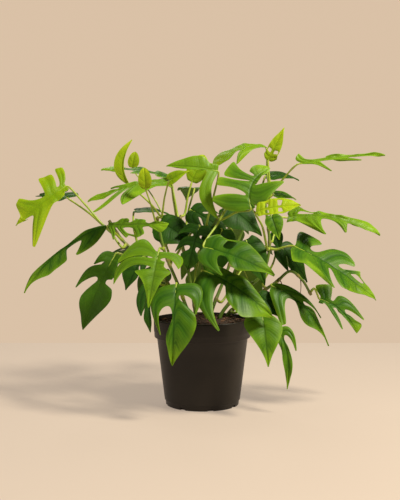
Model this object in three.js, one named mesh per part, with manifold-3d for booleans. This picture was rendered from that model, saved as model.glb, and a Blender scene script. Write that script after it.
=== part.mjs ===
// Mini monstera (Rhaphidophora tetrasperma) growing in a nursery pot.
// Millimetres, +Z up. The origin is the centre of the pot's flat underside, and -Y is the front.
import * as THREE from 'three';
import { mergeVertices } from 'three/addons/utils/BufferGeometryUtils.js';
import Module from 'manifold-3d';

const wasm = await Module();
wasm.setup();

// ---------------------------------------------------------------- driving dimensions
const clearance = 0.3; // between pieces that touch

const pot = {
  rimRadius: 82.5,
  height: 146,
  lipHeight: 31,
  lipStep: 5.5, // how far the lip stands out from the wall
  bandHeight: 9.5, // plain band at the foot of the lip
  footRadius: 62.5,
  footStep: 9, // height of the slightly narrower foot
  wall: 2.2,
  floor: 3,
  facets: 36,
  notches: 8,
  notchWidth: 10,
  notchHeight: 4,
};

const soil = {
  edgeHeight: 137,
  crownHeight: 148,
  lumps: 2.2, // height of the chunky bark on top
  rings: 4,
  facets: 24,
};

const vineSize = {
  rootDepth: 34, // below the soil's surface
  baseRadius: 3.3,
  tipRadius: 2.1,
  nodeSwelling: 0.8,
  sides: 6,
  rootRadius: 1.1, // aerial roots
};

const petiole = {
  stemRadius: 1.9,
  bladeRadius: 1.2,
  keelRadius: 0.9, // where it runs out under the midrib
  sides: 4,
  steps: 5,
  axil: 8, // how far it stands straight out from its vine
  axilGap: 1.1, // between its root and the middle of the vine's skin
};

const blade = {
  thickness: 1.0,
  band: 0.06, // uncut strip on either side of the midrib, in leaf lengths
  lobeLines: [0, 0.5, 1],
  tipHalfWidth: 0.6,
};

const colours = {
  pot: 0x2a2520,
  soil: 0x3a281c,
  vine: 0x5b6a24,
  mature: 0x3f7d2c,
  shaded: 0x2c5a20,
  fresh: 0x8fb52a,
};

// ---------------------------------------------------------------- solids
function toSolid(geometry) {
  const bare = geometry.clone();
  bare.deleteAttribute('normal');
  bare.deleteAttribute('uv');
  const merged = mergeVertices(bare, 1e-4);
  const vertProperties = new Float32Array(merged.attributes.position.array);
  const triVerts = new Uint32Array(merged.index.array);
  return new wasm.Manifold(new wasm.Mesh({ numProp: 3, vertProperties, triVerts }));
}

function toGeometry(solid) {
  const mesh = solid.getMesh();
  const geometry = new THREE.BufferGeometry();
  geometry.setAttribute('position', new THREE.BufferAttribute(new Float32Array(mesh.vertProperties), 3));
  geometry.setIndex(new THREE.BufferAttribute(new Uint32Array(mesh.triVerts), 1));
  geometry.computeVertexNormals();
  return geometry;
}

function toMesh(name, solid, colour, roughness) {
  const material = new THREE.MeshStandardMaterial({ color: colour, roughness, metalness: 0 });
  const mesh = new THREE.Mesh(toGeometry(solid), material);
  mesh.name = name;
  return mesh;
}

// A cylinder bent along a curve, with its own radius at every step.
function bentTube(curve, radiusAt, sides, steps) {
  const geometry = new THREE.CylinderGeometry(1, 1, 1, sides, steps);
  const frames = curve.computeFrenetFrames(steps, false);
  const place = geometry.attributes.position;
  for (let i = 0; i < place.count; i += 1) {
    const step = Math.round((place.getY(i) + 0.5) * steps);
    const radius = radiusAt(step / steps);
    const point = curve.getPointAt(step / steps);
    point.addScaledVector(frames.normals[step], place.getX(i) * radius);
    point.addScaledVector(frames.binormals[step], -place.getZ(i) * radius);
    place.setXYZ(i, point.x, point.y, point.z);
  }
  return toSolid(geometry);
}

const vector = (list) => new THREE.Vector3(...list);

// ---------------------------------------------------------------- pot and soil
function lathed(profile, facets) {
  const points = profile.map(([radius, height]) => new THREE.Vector2(radius, height));
  return toSolid(new THREE.LatheGeometry(points, facets).rotateX(Math.PI / 2));
}

function wallRadius(height) {
  const lipFoot = pot.height - pot.lipHeight;
  const top = pot.rimRadius - pot.lipStep;
  const foot = pot.footRadius + 1.5;
  return foot + ((top - foot) * (height - pot.footStep)) / (lipFoot - pot.footStep);
}

function potSolid() {
  const lipFoot = pot.height - pot.lipHeight;
  const lipInside = pot.rimRadius - 2 * pot.wall;
  const shell = lathed([
    [0, 0],
    [pot.footRadius - 4, 0],
    [pot.footRadius - 1, 2],
    [pot.footRadius, pot.footStep - 0.5],
    [wallRadius(pot.footStep), pot.footStep],
    [wallRadius(lipFoot - 1), lipFoot - 1],
    [pot.rimRadius - 1.2, lipFoot],
    [pot.rimRadius - 0.8, lipFoot + pot.bandHeight],
    [pot.rimRadius - 0.2, lipFoot + pot.bandHeight + 1],
    [pot.rimRadius, pot.height - 1],
    [pot.rimRadius - 1, pot.height],
    [lipInside + 1, pot.height],
    [lipInside, pot.height - 1.5],
    [wallRadius(lipFoot) - pot.wall, lipFoot - 3],
    [pot.footRadius - pot.wall, pot.floor],
    [0, pot.floor],
  ], pot.facets);
  let cut = shell;
  for (let i = 0; i < pot.notches; i += 1) {
    const angle = ((i + 0.28) * 2 * Math.PI) / pot.notches;
    const box = new THREE.BoxGeometry(14, pot.notchWidth, pot.notchHeight * 2);
    box.translate(pot.footRadius + 1, 0, 0);
    box.rotateZ(angle);
    cut = cut.subtract(toSolid(box));
  }
  return cut;
}

function soilHeight(radius, angle) {
  const share = radius / pot.rimRadius;
  const mound = soil.edgeHeight + (soil.crownHeight - soil.edgeHeight) * (1 - share * share);
  const bark = Math.sin(angle * 7 + radius * 0.9) * Math.cos(angle * 4 - radius * 0.35);
  return mound + soil.lumps * bark * Math.min(1, (1.05 - share) * 4);
}

function soilSolid(vines) {
  const lipFoot = pot.height - pot.lipHeight;
  const side = wallRadius(lipFoot) - pot.wall - 0.8;
  const lipSide = pot.rimRadius - 2 * pot.wall - 1.2;
  const foot = pot.footRadius - pot.wall - 0.8;
  const profile = [[0, pot.floor + clearance], [foot, pot.floor + clearance], [side, lipFoot - 3]];
  for (let i = 0; i < soil.rings; i += 1) {
    profile.push([lipSide * (1 - i / soil.rings), soil.edgeHeight]);
  }
  profile.push([0, soil.edgeHeight]);
  const geometry = new THREE.LatheGeometry(profile.map(([r, z]) => new THREE.Vector2(r, z)), soil.facets);
  const place = geometry.attributes.position;
  for (let i = 0; i < place.count; i += 1) {
    if (place.getY(i) === soil.edgeHeight) {
      const radius = Math.hypot(place.getX(i), place.getZ(i));
      const angle = radius < 0.01 ? 0 : Math.atan2(place.getZ(i), place.getX(i));
      place.setY(i, soilHeight(radius, angle));
    }
  }
  let solid = toSolid(geometry.rotateX(Math.PI / 2));
  for (const vine of vines) {
    const hole = new THREE.CylinderGeometry(vine.foot.hole, vine.foot.hole, 80, 8);
    hole.rotateX(Math.PI / 2);
    hole.translate(vine.foot.x, vine.foot.y, vine.foot.bottom + 40 - clearance);
    solid = solid.subtract(toSolid(hole));
  }
  return solid;
}

// ---------------------------------------------------------------- vines
// Each vine's route, from the soil to its growing tip, and where aerial roots leave it.
const vineRoutes = {
  left: {
    route: [[-34, -6, 150], [-58, -8, 205], [-96, -12, 250], [-129, -15, 274], [-156, -16, 312]],
    roots: [0.45],
  },
  mid_left: {
    route: [[-22, -26, 150], [-40, -36, 205], [-62, -48, 262], [-74, -54, 318]],
    roots: [0.4],
  },
  back: {
    route: [[-12, 26, 150], [-22, 34, 210], [-34, 30, 270], [-38, 20, 318]],
    roots: [0.35, 0.6],
  },
  centre: {
    route: [[6, -14, 150], [2, -24, 200], [2, -34, 250], [16, -26, 300], [40, -30, 336]],
    roots: [0.5],
  },
  right: {
    route: [[30, -8, 150], [62, -8, 190], [98, -6, 218], [112, -10, 262], [108, -12, 316], [104, -8, 350]],
    roots: [0.3, 0.5],
  },
  low_right: {
    route: [[44, 22, 150], [84, 14, 178], [124, 4, 206], [148, -4, 226], [168, 4, 212], [186, 18, 184]],
    roots: [0.42, 0.62, 0.8],
  },
  rear_right: {
    route: [[16, 42, 150], [40, 66, 210], [66, 72, 280], [96, 56, 350]],
    roots: [0.4],
  },
};

function makeVine(name, { route, roots }) {
  const [x, y] = route[0];
  const bottom = soil.crownHeight - vineSize.rootDepth;
  const points = [vector([x, y, bottom]), vector([x, y, bottom + 22]), ...route.map(vector)];
  const curve = new THREE.CatmullRomCurve3(points, false, 'centripetal');
  const steps = Math.round(curve.getLength() / 20);
  const radiusAt = (share) => {
    const plain = vineSize.baseRadius + (vineSize.tipRadius - vineSize.baseRadius) * share;
    return plain + (Math.round(share * steps) % 3 === 2 ? vineSize.nodeSwelling : 0);
  };
  let solid = bentTube(curve, radiusAt, vineSize.sides, steps);
  for (const share of roots) {
    const start = curve.getPointAt(share);
    const drop = 16 + 22 * share;
    const end = start.clone().add(new THREE.Vector3(5, 5, -drop));
    const knee = start.clone().add(new THREE.Vector3(7, 6, -0.4 * drop));
    const dangling = new THREE.QuadraticBezierCurve3(start, knee, end);
    const thinning = (along) => vineSize.rootRadius * (1 - 0.5 * along);
    solid = solid.add(bentTube(dangling, thinning, 5, 3));
  }
  const foot = { x, y, bottom, hole: vineSize.baseRadius + vineSize.nodeSwelling + clearance + 1 };
  return { name: `vine_${name}`, curve, radiusAt, solid, foot };
}

// ---------------------------------------------------------------- leaf plans
// Everything is in leaf lengths, each half measured out from the midrib and up from the base.
// A lobe grows from its root on the midrib to its tip, whose half width is its end, and its near and far
// edges pass the given points half way. Past it the blade is cut to the midrib (open), pierced (hole) or
// whole (none).
function lobe(root, near, tip, far, end = 0.006, cut = 'open') {
  return { root, near, tip, far, end, cut };
}

// A plain stretch of blade beside the midrib.
function strip(root, width, cut = 'none') {
  const [near, far] = root.map((y) => [width * 0.8, y]);
  return lobe(root, near, [width, (root[0] + root[1]) / 2], far, (root[1] - root[0]) / 2, cut);
}

// Lobes from the base up, then the lobe at the leaf's end with its outline from shoulder to tip.
function half(start, rim, ...lobes) {
  return { start, rim, lobes };
}

function both(shape) {
  return { left: shape, right: shape };
}

const plans = {
  entire: both(half(0.0, [[0.16, -0.05], [0.31, 0.16], [0.25, 0.5], [0.09, 0.8], [0, 1]])),
  young: both(half(0.0, [[0.2, 0.02], [0.4, 0.28], [0.4, 0.62], [0.2, 0.92], [0, 1]])),
  windowed: both(half(
    0.34, [[0.28, 0.38], [0.24, 0.6], [0.08, 0.86], [0, 1]],
    lobe([0, 0.22], [0.17, 0.02], [0.28, 0.2], [0.2, 0.27], 0.06, 'hole'),
  )),
  armed: both(half(
    0.33, [[0.17, 0.46], [0.2, 0.6], [0.07, 0.86], [0, 1]],
    lobe([0, 0.26], [0.28, 0.1], [0.26, 0.56], [0.15, 0.37]),
  )),
  twoCut: both(half(
    0.58, [[0.23, 0.7], [0.16, 0.83], [0.05, 0.94], [0, 1]],
    lobe([0, 0.24], [0.26, 0.0], [0.41, 0.28], [0.25, 0.23]),
    lobe([0.3, 0.5], [0.27, 0.37], [0.36, 0.66], [0.22, 0.54]),
  )),
  far_left: {
    left: half(
      0.86, [[0.07, 0.8], [0.045, 0.86], [0.02, 0.93], [0, 1]],
      strip([0, 0.1], 0.08),
      strip([0.13, 0.4], 0.13),
      lobe([0.45, 0.68], [0.225, 0.66], [0.42, 0.955], [0.2, 0.82], 0.02),
    ),
    right: half(
      0.86, [[0.06, 0.85], [0.035, 0.893], [0.02, 0.953], [0, 1]],
      lobe([0, 0.1], [0.135, -0.09], [0.372, -0.135], [0.135, 0.033], 0.07),
      lobe([0.15, 0.38], [0.19, 0.08], [0.382, 0.143], [0.14, 0.34], 0.12),
      lobe([0.42, 0.8], [0.13, 0.57], [0.29, 0.74], [0.15, 0.8], 0.07, 'none'),
    ),
  },
  left_arch: {
    left: half(
      0.45, [[0.11, 0.515], [0.1, 0.63], [0.09, 0.745], [0.03, 0.87], [0, 1]],
      lobe([0, 0.27], [0.115, 0.17], [0.133, 0.4], [0.07, 0.32], 0.008),
    ),
    right: half(
      0.45, [[0.012, 0.52], [0.015, 0.66], [0.037, 0.8], [0.06, 0.9], [0, 1]],
      strip([0, 0.27], 0.035),
    ),
  },
  left_upright: {
    left: half(0.0, [[0.05, 0.02], [0.17, 0.34], [0.15, 0.66], [0, 1]]),
    right: half(0.0, [[0.03, 0.02], [0.03, 0.36], [0.03, 0.68], [0, 1]]),
  },
  left_ledge: {
    left: half(
      0.66, [[0.06, 0.76], [0.05, 0.84], [0.03, 0.92], [0, 1]],
      strip([0, 0.26], 0.1),
      lobe([0.42, 0.5], [0.15, 0.6], [0.25, 0.676], [0.12, 0.65], 0.008),
      lobe([0.52, 0.62], [0.15, 0.8], [0.18, 0.985], [0.11, 0.82], 0.008),
    ),
    right: half(
      0.66, [[0.025, 0.76], [0.03, 0.84], [0.03, 0.92], [0, 1]],
      strip([0, 0.26], 0.045),
      strip([0.3, 0.46], 0.04),
      lobe([0.52, 0.62], [0.045, 0.6], [0.08, 0.72], [0.04, 0.67], 0.01),
    ),
  },
  left_ledge_rear: {
    left: half(
      0.66, [[0.06, 0.74], [0.07, 0.83], [0.03, 0.93], [0, 1]],
      lobe([0, 0.24], [0.08, 0.04], [0.14, 0.22], [0.07, 0.25]),
      lobe([0.34, 0.56], [0.1, 0.4], [0.16, 0.6], [0.09, 0.57]),
    ),
    right: half(
      0.66, [[0.1, 0.7], [0.14, 0.8], [0.06, 0.92], [0, 1]],
      lobe([0, 0.24], [0.12, 0.04], [0.22, 0.2], [0.1, 0.24]),
      lobe([0.34, 0.56], [0.1, 0.38], [0.13, 0.49], [0.09, 0.56], 0.02),
    ),
  },
  top_crescent: {
    left: half(
      0.27, [[0.05, 0.35], [0.06, 0.5], [0.05, 0.75], [0, 1]],
      lobe([0, 0.2], [0.41, 0.12], [0.72, -0.12], [0.5, 0.36], 0.02),
    ),
    right: half(
      0.24, [[0.23, 0.28], [0.27, 0.44], [0.18, 0.68], [0, 1]],
      strip([0, 0.18], 0.13),
    ),
  },
  top_arch: {
    left: half(
      0.52, [[0.03, 0.57], [0.07, 0.75], [0.025, 0.9], [0, 1]],
      strip([0, 0.3], 0.08),
      lobe([0.36, 0.48], [0.165, 0.551], [0.244, 0.714], [0.117, 0.592], 0.01),
    ),
    right: half(
      0.52, [[0.185, 0.6], [0.236, 0.734], [0.21, 0.9], [0, 1]],
      strip([0, 0.28], 0.08),
      strip([0.32, 0.48], 0.13),
    ),
  },
  top_broad: {
    left: half(
      0.7, [[0.19, 0.71], [0.2, 0.82], [0.11, 0.97], [0, 1]],
      lobe([0, 0.24], [0.31, 0.028], [0.633, 0.215], [0.303, 0.271], 0.03),
      lobe([0.28, 0.54], [0.246, 0.349], [0.593, 0.414], [0.296, 0.485], 0.06),
      lobe([0.56, 0.66], [0.308, 0.507], [0.55, 0.617], [0.314, 0.656], 0.12),
    ),
    right: half(
      0.7, [[0.07, 0.7], [0.075, 0.8], [0.07, 0.91], [0, 1]],
      strip([0, 0.04], 0.08, 'open'),
      lobe([0.08, 0.48], [0.335, 0.083], [0.477, 0.885], [0.256, 0.646], 0.015),
      strip([0.52, 0.64], 0.08),
    ),
  },
  lime_windowed: {
    left: half(
      0.6, [[0.24, 0.66], [0.2, 0.78], [0.08, 0.92], [0, 1]],
      lobe([0, 0.22], [0.13, 0.03], [0.24, 0.14], [0.13, 0.24], 0.07, 'hole'),
      lobe([0.3, 0.52], [0.15, 0.32], [0.27, 0.42], [0.15, 0.53], 0.07, 'hole'),
    ),
    right: half(
      0.6, [[0.19, 0.64], [0.15, 0.78], [0.05, 0.92], [0, 1]],
      lobe([0, 0.22], [0.09, 0.03], [0.15, 0.13], [0.09, 0.23], 0.07, 'hole'),
      lobe([0.3, 0.52], [0.11, 0.32], [0.2, 0.42], [0.11, 0.53], 0.07, 'hole'),
    ),
  },
  right_strap: {
    left: half(
      0.62, [[0.022, 0.66], [0.022, 0.8], [0.016, 0.92], [0, 1]],
      lobe([0.02, 0.2], [0.05, -0.02], [0.11, 0.02], [0.05, 0.1], 0.025),
      strip([0.34, 0.56], 0.035),
    ),
    right: half(
      0.62, [[0.022, 0.66], [0.026, 0.8], [0.016, 0.92], [0, 1]],
      lobe([0.06, 0.26], [0.07, 0.2], [0.19, 0.36], [0.05, 0.27]),
      lobe([0.4, 0.56], [0.045, 0.48], [0.08, 0.72], [0.03, 0.6]),
    ),
  },
  right_ledge: {
    left: half(
      0.68, [[0.08, 0.7], [0.1, 0.81], [0.085, 0.92], [0, 1]],
      lobe([0, 0.1], [0.07, -0.005], [0.11, 0.128], [0.05, 0.118], 0.05, 'hole'),
      lobe([0.28, 0.37], [0.04, 0.321], [0.075, 0.3], [0.035, 0.37], 0.04, 'none'),
      strip([0.44, 0.62], 0.045),
    ),
    right: half(
      0.68, [[0.03, 0.76], [0.028, 0.85], [0.02, 0.93], [0, 1]],
      strip([0, 0.14], 0.08),
      lobe([0.17, 0.38], [0.13, 0.28], [0.237, 0.463], [0.14, 0.402], 0.01),
      lobe([0.46, 0.66], [0.075, 0.59], [0.132, 0.668], [0.058, 0.667], 0.01),
    ),
  },
  right_broad: {
    left: half(
      0.8, [[0.095, 0.843], [0.058, 0.926], [0, 1]],
      lobe([0, 0.18], [0.286, -0.11], [0.21, 0.203], [0.102, 0.155], 0.04),
      lobe([0.26, 0.5], [0.308, 0.408], [0.198, 0.643], [0.129, 0.561], 0.04),
      lobe([0.58, 0.65], [0.07, 0.61], [0.115, 0.739], [0.07, 0.7], 0.03, 'hole'),
    ),
    right: half(
      0.76, [[0.111, 0.82], [0.066, 0.91], [0, 1]],
      lobe([0, 0.2], [0.14, 0.05], [0.23, 0.2], [0.14, 0.22], 0.07, 'none'),
      lobe([0.24, 0.44], [0.22, 0.43], [0.3, 0.585], [0.19, 0.5], 0.01),
      lobe([0.48, 0.66], [0.186, 0.584], [0.208, 0.678], [0.14, 0.72], 0.03, 'none'),
    ),
  },
  right_low: {
    left: half(
      0.6, [[0.07, 0.69], [0.1, 0.82], [0.16, 0.92], [0, 1]],
      lobe([0, 0.2], [0.16, -0.1], [0.34, -0.02], [0.18, 0.17], 0.14),
      lobe([0.28, 0.52], [0.28, 0.34], [0.24, 0.86], [0.14, 0.62], 0.012),
    ),
    right: half(
      0.38, [[0.05, 0.46], [0.06, 0.65], [0.04, 0.85], [0, 1]],
      strip([0, 0.1], 0.09, 'open'),
      lobe([0.14, 0.3], [0.19, 0.42], [0.26, 0.8], [0.13, 0.52], 0.012),
    ),
  },
  right_apron: {
    left: half(
      0.47, [[0.05, 0.53], [0.045, 0.64], [0.03, 0.76], [0.02, 0.86], [0, 1]],
      lobe([0, 0.41], [0.11, 0.3], [0.08, 0.7], [0.065, 0.53], 0.008),
    ),
    right: half(
      0.35, [[0.06, 0.42], [0.13, 0.54], [0.12, 0.69], [0.025, 0.83], [0, 1]],
      lobe([0, 0.24], [0.16, 0.06], [0.33, 0.42], [0.17, 0.28], 0.04),
    ),
  },
  rim_glossy: {
    left: half(0.0, [[0.12, 0.0], [0.35, 0.25], [0.25, 0.55], [0.09, 0.82], [0, 1]]),
    right: half(0.0, [[0.22, -0.05], [0.36, 0.12], [0.26, 0.42], [0.09, 0.74], [0, 1]]),
  },
  rim_tail: {
    left: half(
      0.22, [[0.04, 0.34], [0.07, 0.6], [0.03, 0.82], [0, 1]],
      lobe([0, 0.14], [0.2, 0.08], [0.15, 0.42], [0.11, 0.2], 0.01),
    ),
    right: half(
      0.22, [[0.06, 0.36], [0.09, 0.52], [0.05, 0.78], [0, 1]],
      lobe([0, 0.14], [0.06, 0.0], [0.09, 0.06], [0.09, 0.14], 0.05, 'none'),
    ),
  },
  front_centre: {
    left: half(
      0.3, [[0.14, 0.38], [0.17, 0.5], [0.13, 0.68], [0.05, 0.88], [0, 1]],
      lobe([0, 0.24], [0.1, 0.0], [0.14, 0.1], [0.1, 0.24], 0.11, 'none'),
    ),
    right: half(
      0.36, [[0.2, 0.46], [0.25, 0.6], [0.28, 0.73], [0.09, 0.91], [0, 1]],
      lobe([0, 0.27], [0.36, 0.1], [0.51, 0.58], [0.34, 0.36], 0.01),
    ),
  },
  front_left: {
    left: half(
      0.2, [[0.24, 0.36], [0.27, 0.48], [0.21, 0.68], [0.09, 0.86], [0, 1]],
      lobe([0, 0.14], [0.32, -0.02], [0.25, 0.37], [0.21, 0.19]),
    ),
    right: half(
      0.46, [[0.035, 0.52], [0.085, 0.67], [0.06, 0.8], [0.03, 0.91], [0, 1]],
      lobe([0, 0.28], [0.3, 0.16], [0.15, 0.65], [0.18, 0.38]),
    ),
  },
  mid_left: {
    left: half(
      0.38, [[0.3, 0.36], [0.17, 0.5], [0.08, 0.76], [0, 1]],
      lobe([0, 0.15], [0.4, -0.05], [0.38, 0.26], [0.22, 0.12], 0.01),
      lobe([0.18, 0.33], [0.11, 0.2], [0.14, 0.26], [0.11, 0.32], 0.06, 'none'),
    ),
    right: half(
      0.38, [[0.35, 0.42], [0.18, 0.58], [0.08, 0.78], [0, 1]],
      lobe([0, 0.14], [0.36, -0.34], [0.67, 0.08], [0.44, 0.1], 0.05),
      lobe([0.17, 0.33], [0.62, 0.12], [0.66, 0.56], [0.46, 0.3], 0.01),
    ),
  },
  left_shelf: {
    left: half(
      0.72, [[0.03, 0.78], [0.03, 0.86], [0.03, 0.93], [0, 1]],
      strip([0, 0.16], 0.055),
      lobe([0.2, 0.38], [0.087, 0.194], [0.113, 0.298], [0.067, 0.404], 0.07),
      lobe([0.42, 0.66], [0.092, 0.482], [0.103, 0.55], [0.07, 0.66], 0.09),
    ),
    right: half(
      0.72, [[0.08, 0.8], [0.127, 0.9], [0.07, 0.975], [0, 1]],
      lobe([0.02, 0.14], [0.1, 0.105], [0.219, 0.191], [0.109, 0.193], 0.01),
      lobe([0.2, 0.3], [0.096, 0.263], [0.17, 0.408], [0.098, 0.36], 0.03, 'hole'),
      lobe([0.47, 0.62], [0.13, 0.54], [0.181, 0.62], [0.12, 0.67], 0.05),
    ),
  },
  left_drop: {
    left: half(
      0.4, [[0.02, 0.55], [0.03, 0.7], [0.04, 0.85], [0, 1]],
      strip([0, 0.3], 0.09),
    ),
    right: half(
      0.4, [[0.04, 0.45], [0.11, 0.75], [0.06, 0.88], [0, 1]],
      lobe([0, 0.3], [0.23, 0.34], [0.15, 0.7], [0.09, 0.54], 0.01),
    ),
  },
  left_broad: {
    left: half(
      0.42, [[0.17, 0.45], [0.21, 0.57], [0.14, 0.76], [0, 1]],
      strip([0, 0.16], 0.1),
      lobe([0.2, 0.37], [0.1, 0.22], [0.14, 0.3], [0.1, 0.36], 0.05),
    ),
    right: half(
      0.42, [[0.1, 0.54], [0.16, 0.68], [0.08, 0.86], [0, 1]],
      lobe([0, 0.16], [0.15, 0.04], [0.17, 0.24], [0.1, 0.18]),
      lobe([0.2, 0.37], [0.24, 0.32], [0.26, 0.57], [0.17, 0.43]),
    ),
  },
  centre_broad: {
    left: half(
      0.37, [[0.29, 0.42], [0.25, 0.62], [0.1, 0.84], [0, 1]],
      lobe([0, 0.24], [0.16, -0.02], [0.26, 0.17], [0.2, 0.25], 0.08, 'hole'),
    ),
    right: half(
      0.37, [[0.15, 0.45], [0.19, 0.58], [0.08, 0.82], [0, 1]],
      lobe([0, 0.26], [0.24, 0.05], [0.33, 0.44], [0.21, 0.31], 0.01),
    ),
  },
};

// ---------------------------------------------------------------- blades
const radians = THREE.MathUtils.degToRad;
const lerp = THREE.MathUtils.lerp;
const flat = ([x, y]) => new THREE.Vector2(x, y);

// The grid rows of a blade, from its base to its tip.
function bladeRows(plan) {
  const rows = [];
  plan.left.lobes.forEach((_, index) => {
    for (const across of blade.lobeLines) {
      rows.push({ index, across });
    }
  });
  const steps = plan.left.rim.length - 1;
  for (let i = 0; i <= steps; i += 1) {
    rows.push({ index: plan.left.lobes.length, share: i / steps });
  }
  return rows;
}

function lobePoint(lobe, across, out, band) {
  const root = new THREE.Vector2(band, lerp(lobe.root[0], lobe.root[1], across));
  const reach = flat(lobe.tip).sub(new THREE.Vector2(band, (lobe.root[0] + lobe.root[1]) / 2));
  const edge = new THREE.Vector2(-reach.y, reach.x).normalize().multiplyScalar((across - 0.5) * 2 * lobe.end);
  const tip = flat(lobe.tip).add(edge);
  const passed = flat(lobe.near).lerp(flat(lobe.far), across);
  const bend = passed.multiplyScalar(2).sub(root.clone().add(tip).multiplyScalar(0.5));
  return new THREE.QuadraticBezierCurve(root, bend, tip).getPoint(out);
}

// The lobe at the leaf's end: from the midrib straight out to its outline.
function rimPoint(side, share, out, band, length) {
  const rim = flat(side.rim[Math.round(share * (side.rim.length - 1))]);
  rim.x = Math.max(rim.x, blade.tipHalfWidth / length);
  return new THREE.Vector2(Math.min(band, rim.x * 0.4), lerp(side.start, 1, share)).lerp(rim, out);
}

// The flat blade: a grid with the cells of its cuts and windows left out.
function flatBlade(leaf, length) {
  const plan = plans[leaf.plan];
  const rows = bladeRows(plan);
  const cells = plan.left.lobes.length === 1 ? 3 : 2; // from the uncut strip to a lobe's end
  const columns = cells + 1;
  const grid = new THREE.PlaneGeometry(1, 1, 2 * columns - 1, rows.length - 1);
  const place = grid.attributes.position;
  rows.toReversed().forEach((row, i) => {
    for (let j = 0; j < 2 * columns; j += 1) {
      const sign = j < columns ? -1 : 1;
      const out = (j < columns ? columns - 1 - j : j - columns) / cells;
      const side = sign < 0 ? plan.left : plan.right;
      const band = leaf.band ?? blade.band;
      const point = row.share === undefined
        ? lobePoint(side.lobes[row.index], row.across, out, band)
        : rimPoint(side, row.share, out, band, length);
      const spread = leaf.spread?.[sign < 0 ? 0 : 1] ?? 1;
      place.setXYZ(i * 2 * columns + j, sign * point.x * spread * length, point.y * length, 0);
    }
  });
  const kept = [];
  const corners = grid.index.array;
  for (let i = 0; i < rows.length - 1; i += 1) {
    const { index } = rows[i];
    for (let j = 0; j < 2 * columns - 1; j += 1) {
      const fromBand = Math.abs(j - columns + 1);
      const side = j < columns ? plan.left : plan.right;
      const kind = index === rows[i + 1].index ? 'none' : side.lobes[index].cut;
      const removed = fromBand > 0 && (kind === 'open' || (kind === 'hole' && fromBand < cells));
      if (!removed) {
        const start = ((rows.length - 2 - i) * (2 * columns - 1) + j) * 6;
        kept.push(...corners.slice(start, start + 6));
      }
    }
  }
  grid.setIndex(kept);
  return grid;
}

// Bends the flat blade along its arched midrib, folds it and curls its edges down.
function bladeCourse(leaf) {
  const base = vector(leaf.base);
  const tip = vector(leaf.tip);
  const chord = tip.clone().sub(base).normalize();
  const side = chord.clone().cross(vector(leaf.face)).normalize();
  const rise = side.clone().cross(chord);
  const middle = base.clone().lerp(tip, 0.45).addScaledVector(rise, 2 * leaf.arch);
  middle.addScaledVector(side, 2 * (leaf.sway ?? 0));
  const midrib = new THREE.QuadraticBezierCurve3(base, middle, tip);
  return { midrib, side, length: midrib.getLength() };
}

function bladeFrame(course, leaf, share) {
  const { midrib, side } = course;
  const point = new THREE.Vector3();
  const weights = [(1 - share) ** 2, 2 * share * (1 - share), share ** 2];
  [midrib.v0, midrib.v1, midrib.v2].forEach((corner, i) => point.addScaledVector(corner, weights[i]));
  const tangent = midrib.v1.clone().sub(midrib.v0).multiplyScalar(1 - share);
  tangent.addScaledVector(midrib.v2.clone().sub(midrib.v1), share).normalize();
  const across = side.clone().addScaledVector(tangent, -side.dot(tangent)).normalize();
  across.applyAxisAngle(tangent, radians((leaf.twist ?? 0) * share));
  const up = across.clone().cross(tangent);
  return { point, tangent, across, up };
}

function bladePoint(course, leaf, x, y) {
  const frame = bladeFrame(course, leaf, y / course.length);
  const spread = Math.abs(x) / course.length;
  const lift = Math.abs(x) * (Math.tan(radians(leaf.fold ?? 12)) - (leaf.curl ?? 0.5) * spread);
  const point = frame.point.addScaledVector(frame.across, x).addScaledVector(frame.up, lift);
  point.z -= (leaf.droop ?? 0.35) * spread * Math.abs(x);
  return point;
}

// Gives an open sheet of triangles a thickness, with a wall round every edge.
function thicken(sheet, thickness) {
  sheet.deleteAttribute('uv');
  sheet.computeVertexNormals();
  const count = sheet.attributes.position.count;
  const points = [];
  for (const share of [0.5, -0.5]) {
    for (let i = 0; i < count; i += 1) {
      const point = new THREE.Vector3().fromBufferAttribute(sheet.attributes.position, i);
      const normal = new THREE.Vector3().fromBufferAttribute(sheet.attributes.normal, i);
      points.push(...point.addScaledVector(normal, share * thickness).toArray());
    }
  }
  const faces = sheet.index.array;
  const edges = new Set();
  const index = [];
  for (let i = 0; i < faces.length; i += 3) {
    const [a, b, c] = [faces[i], faces[i + 1], faces[i + 2]];
    index.push(a, b, c, c + count, b + count, a + count);
    [[a, b], [b, c], [c, a]].forEach(([from, to]) => edges.add(`${from},${to}`));
  }
  for (const edge of edges) {
    const [from, to] = edge.split(',').map(Number);
    if (!edges.has(`${to},${from}`)) {
      index.push(from, from + count, to, to, from + count, to + count);
    }
  }
  const closed = new THREE.BufferGeometry();
  closed.setAttribute('position', new THREE.Float32BufferAttribute(points, 3));
  closed.setIndex(index);
  return toSolid(closed);
}

function bladeSolid(leaf, course) {
  const sheet = flatBlade(leaf, course.length);
  const place = sheet.attributes.position;
  for (let i = 0; i < place.count; i += 1) {
    const point = bladePoint(course, leaf, place.getX(i), place.getY(i));
    place.setXYZ(i, point.x, point.y, point.z);
  }
  return thicken(sheet, blade.thickness);
}

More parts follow.
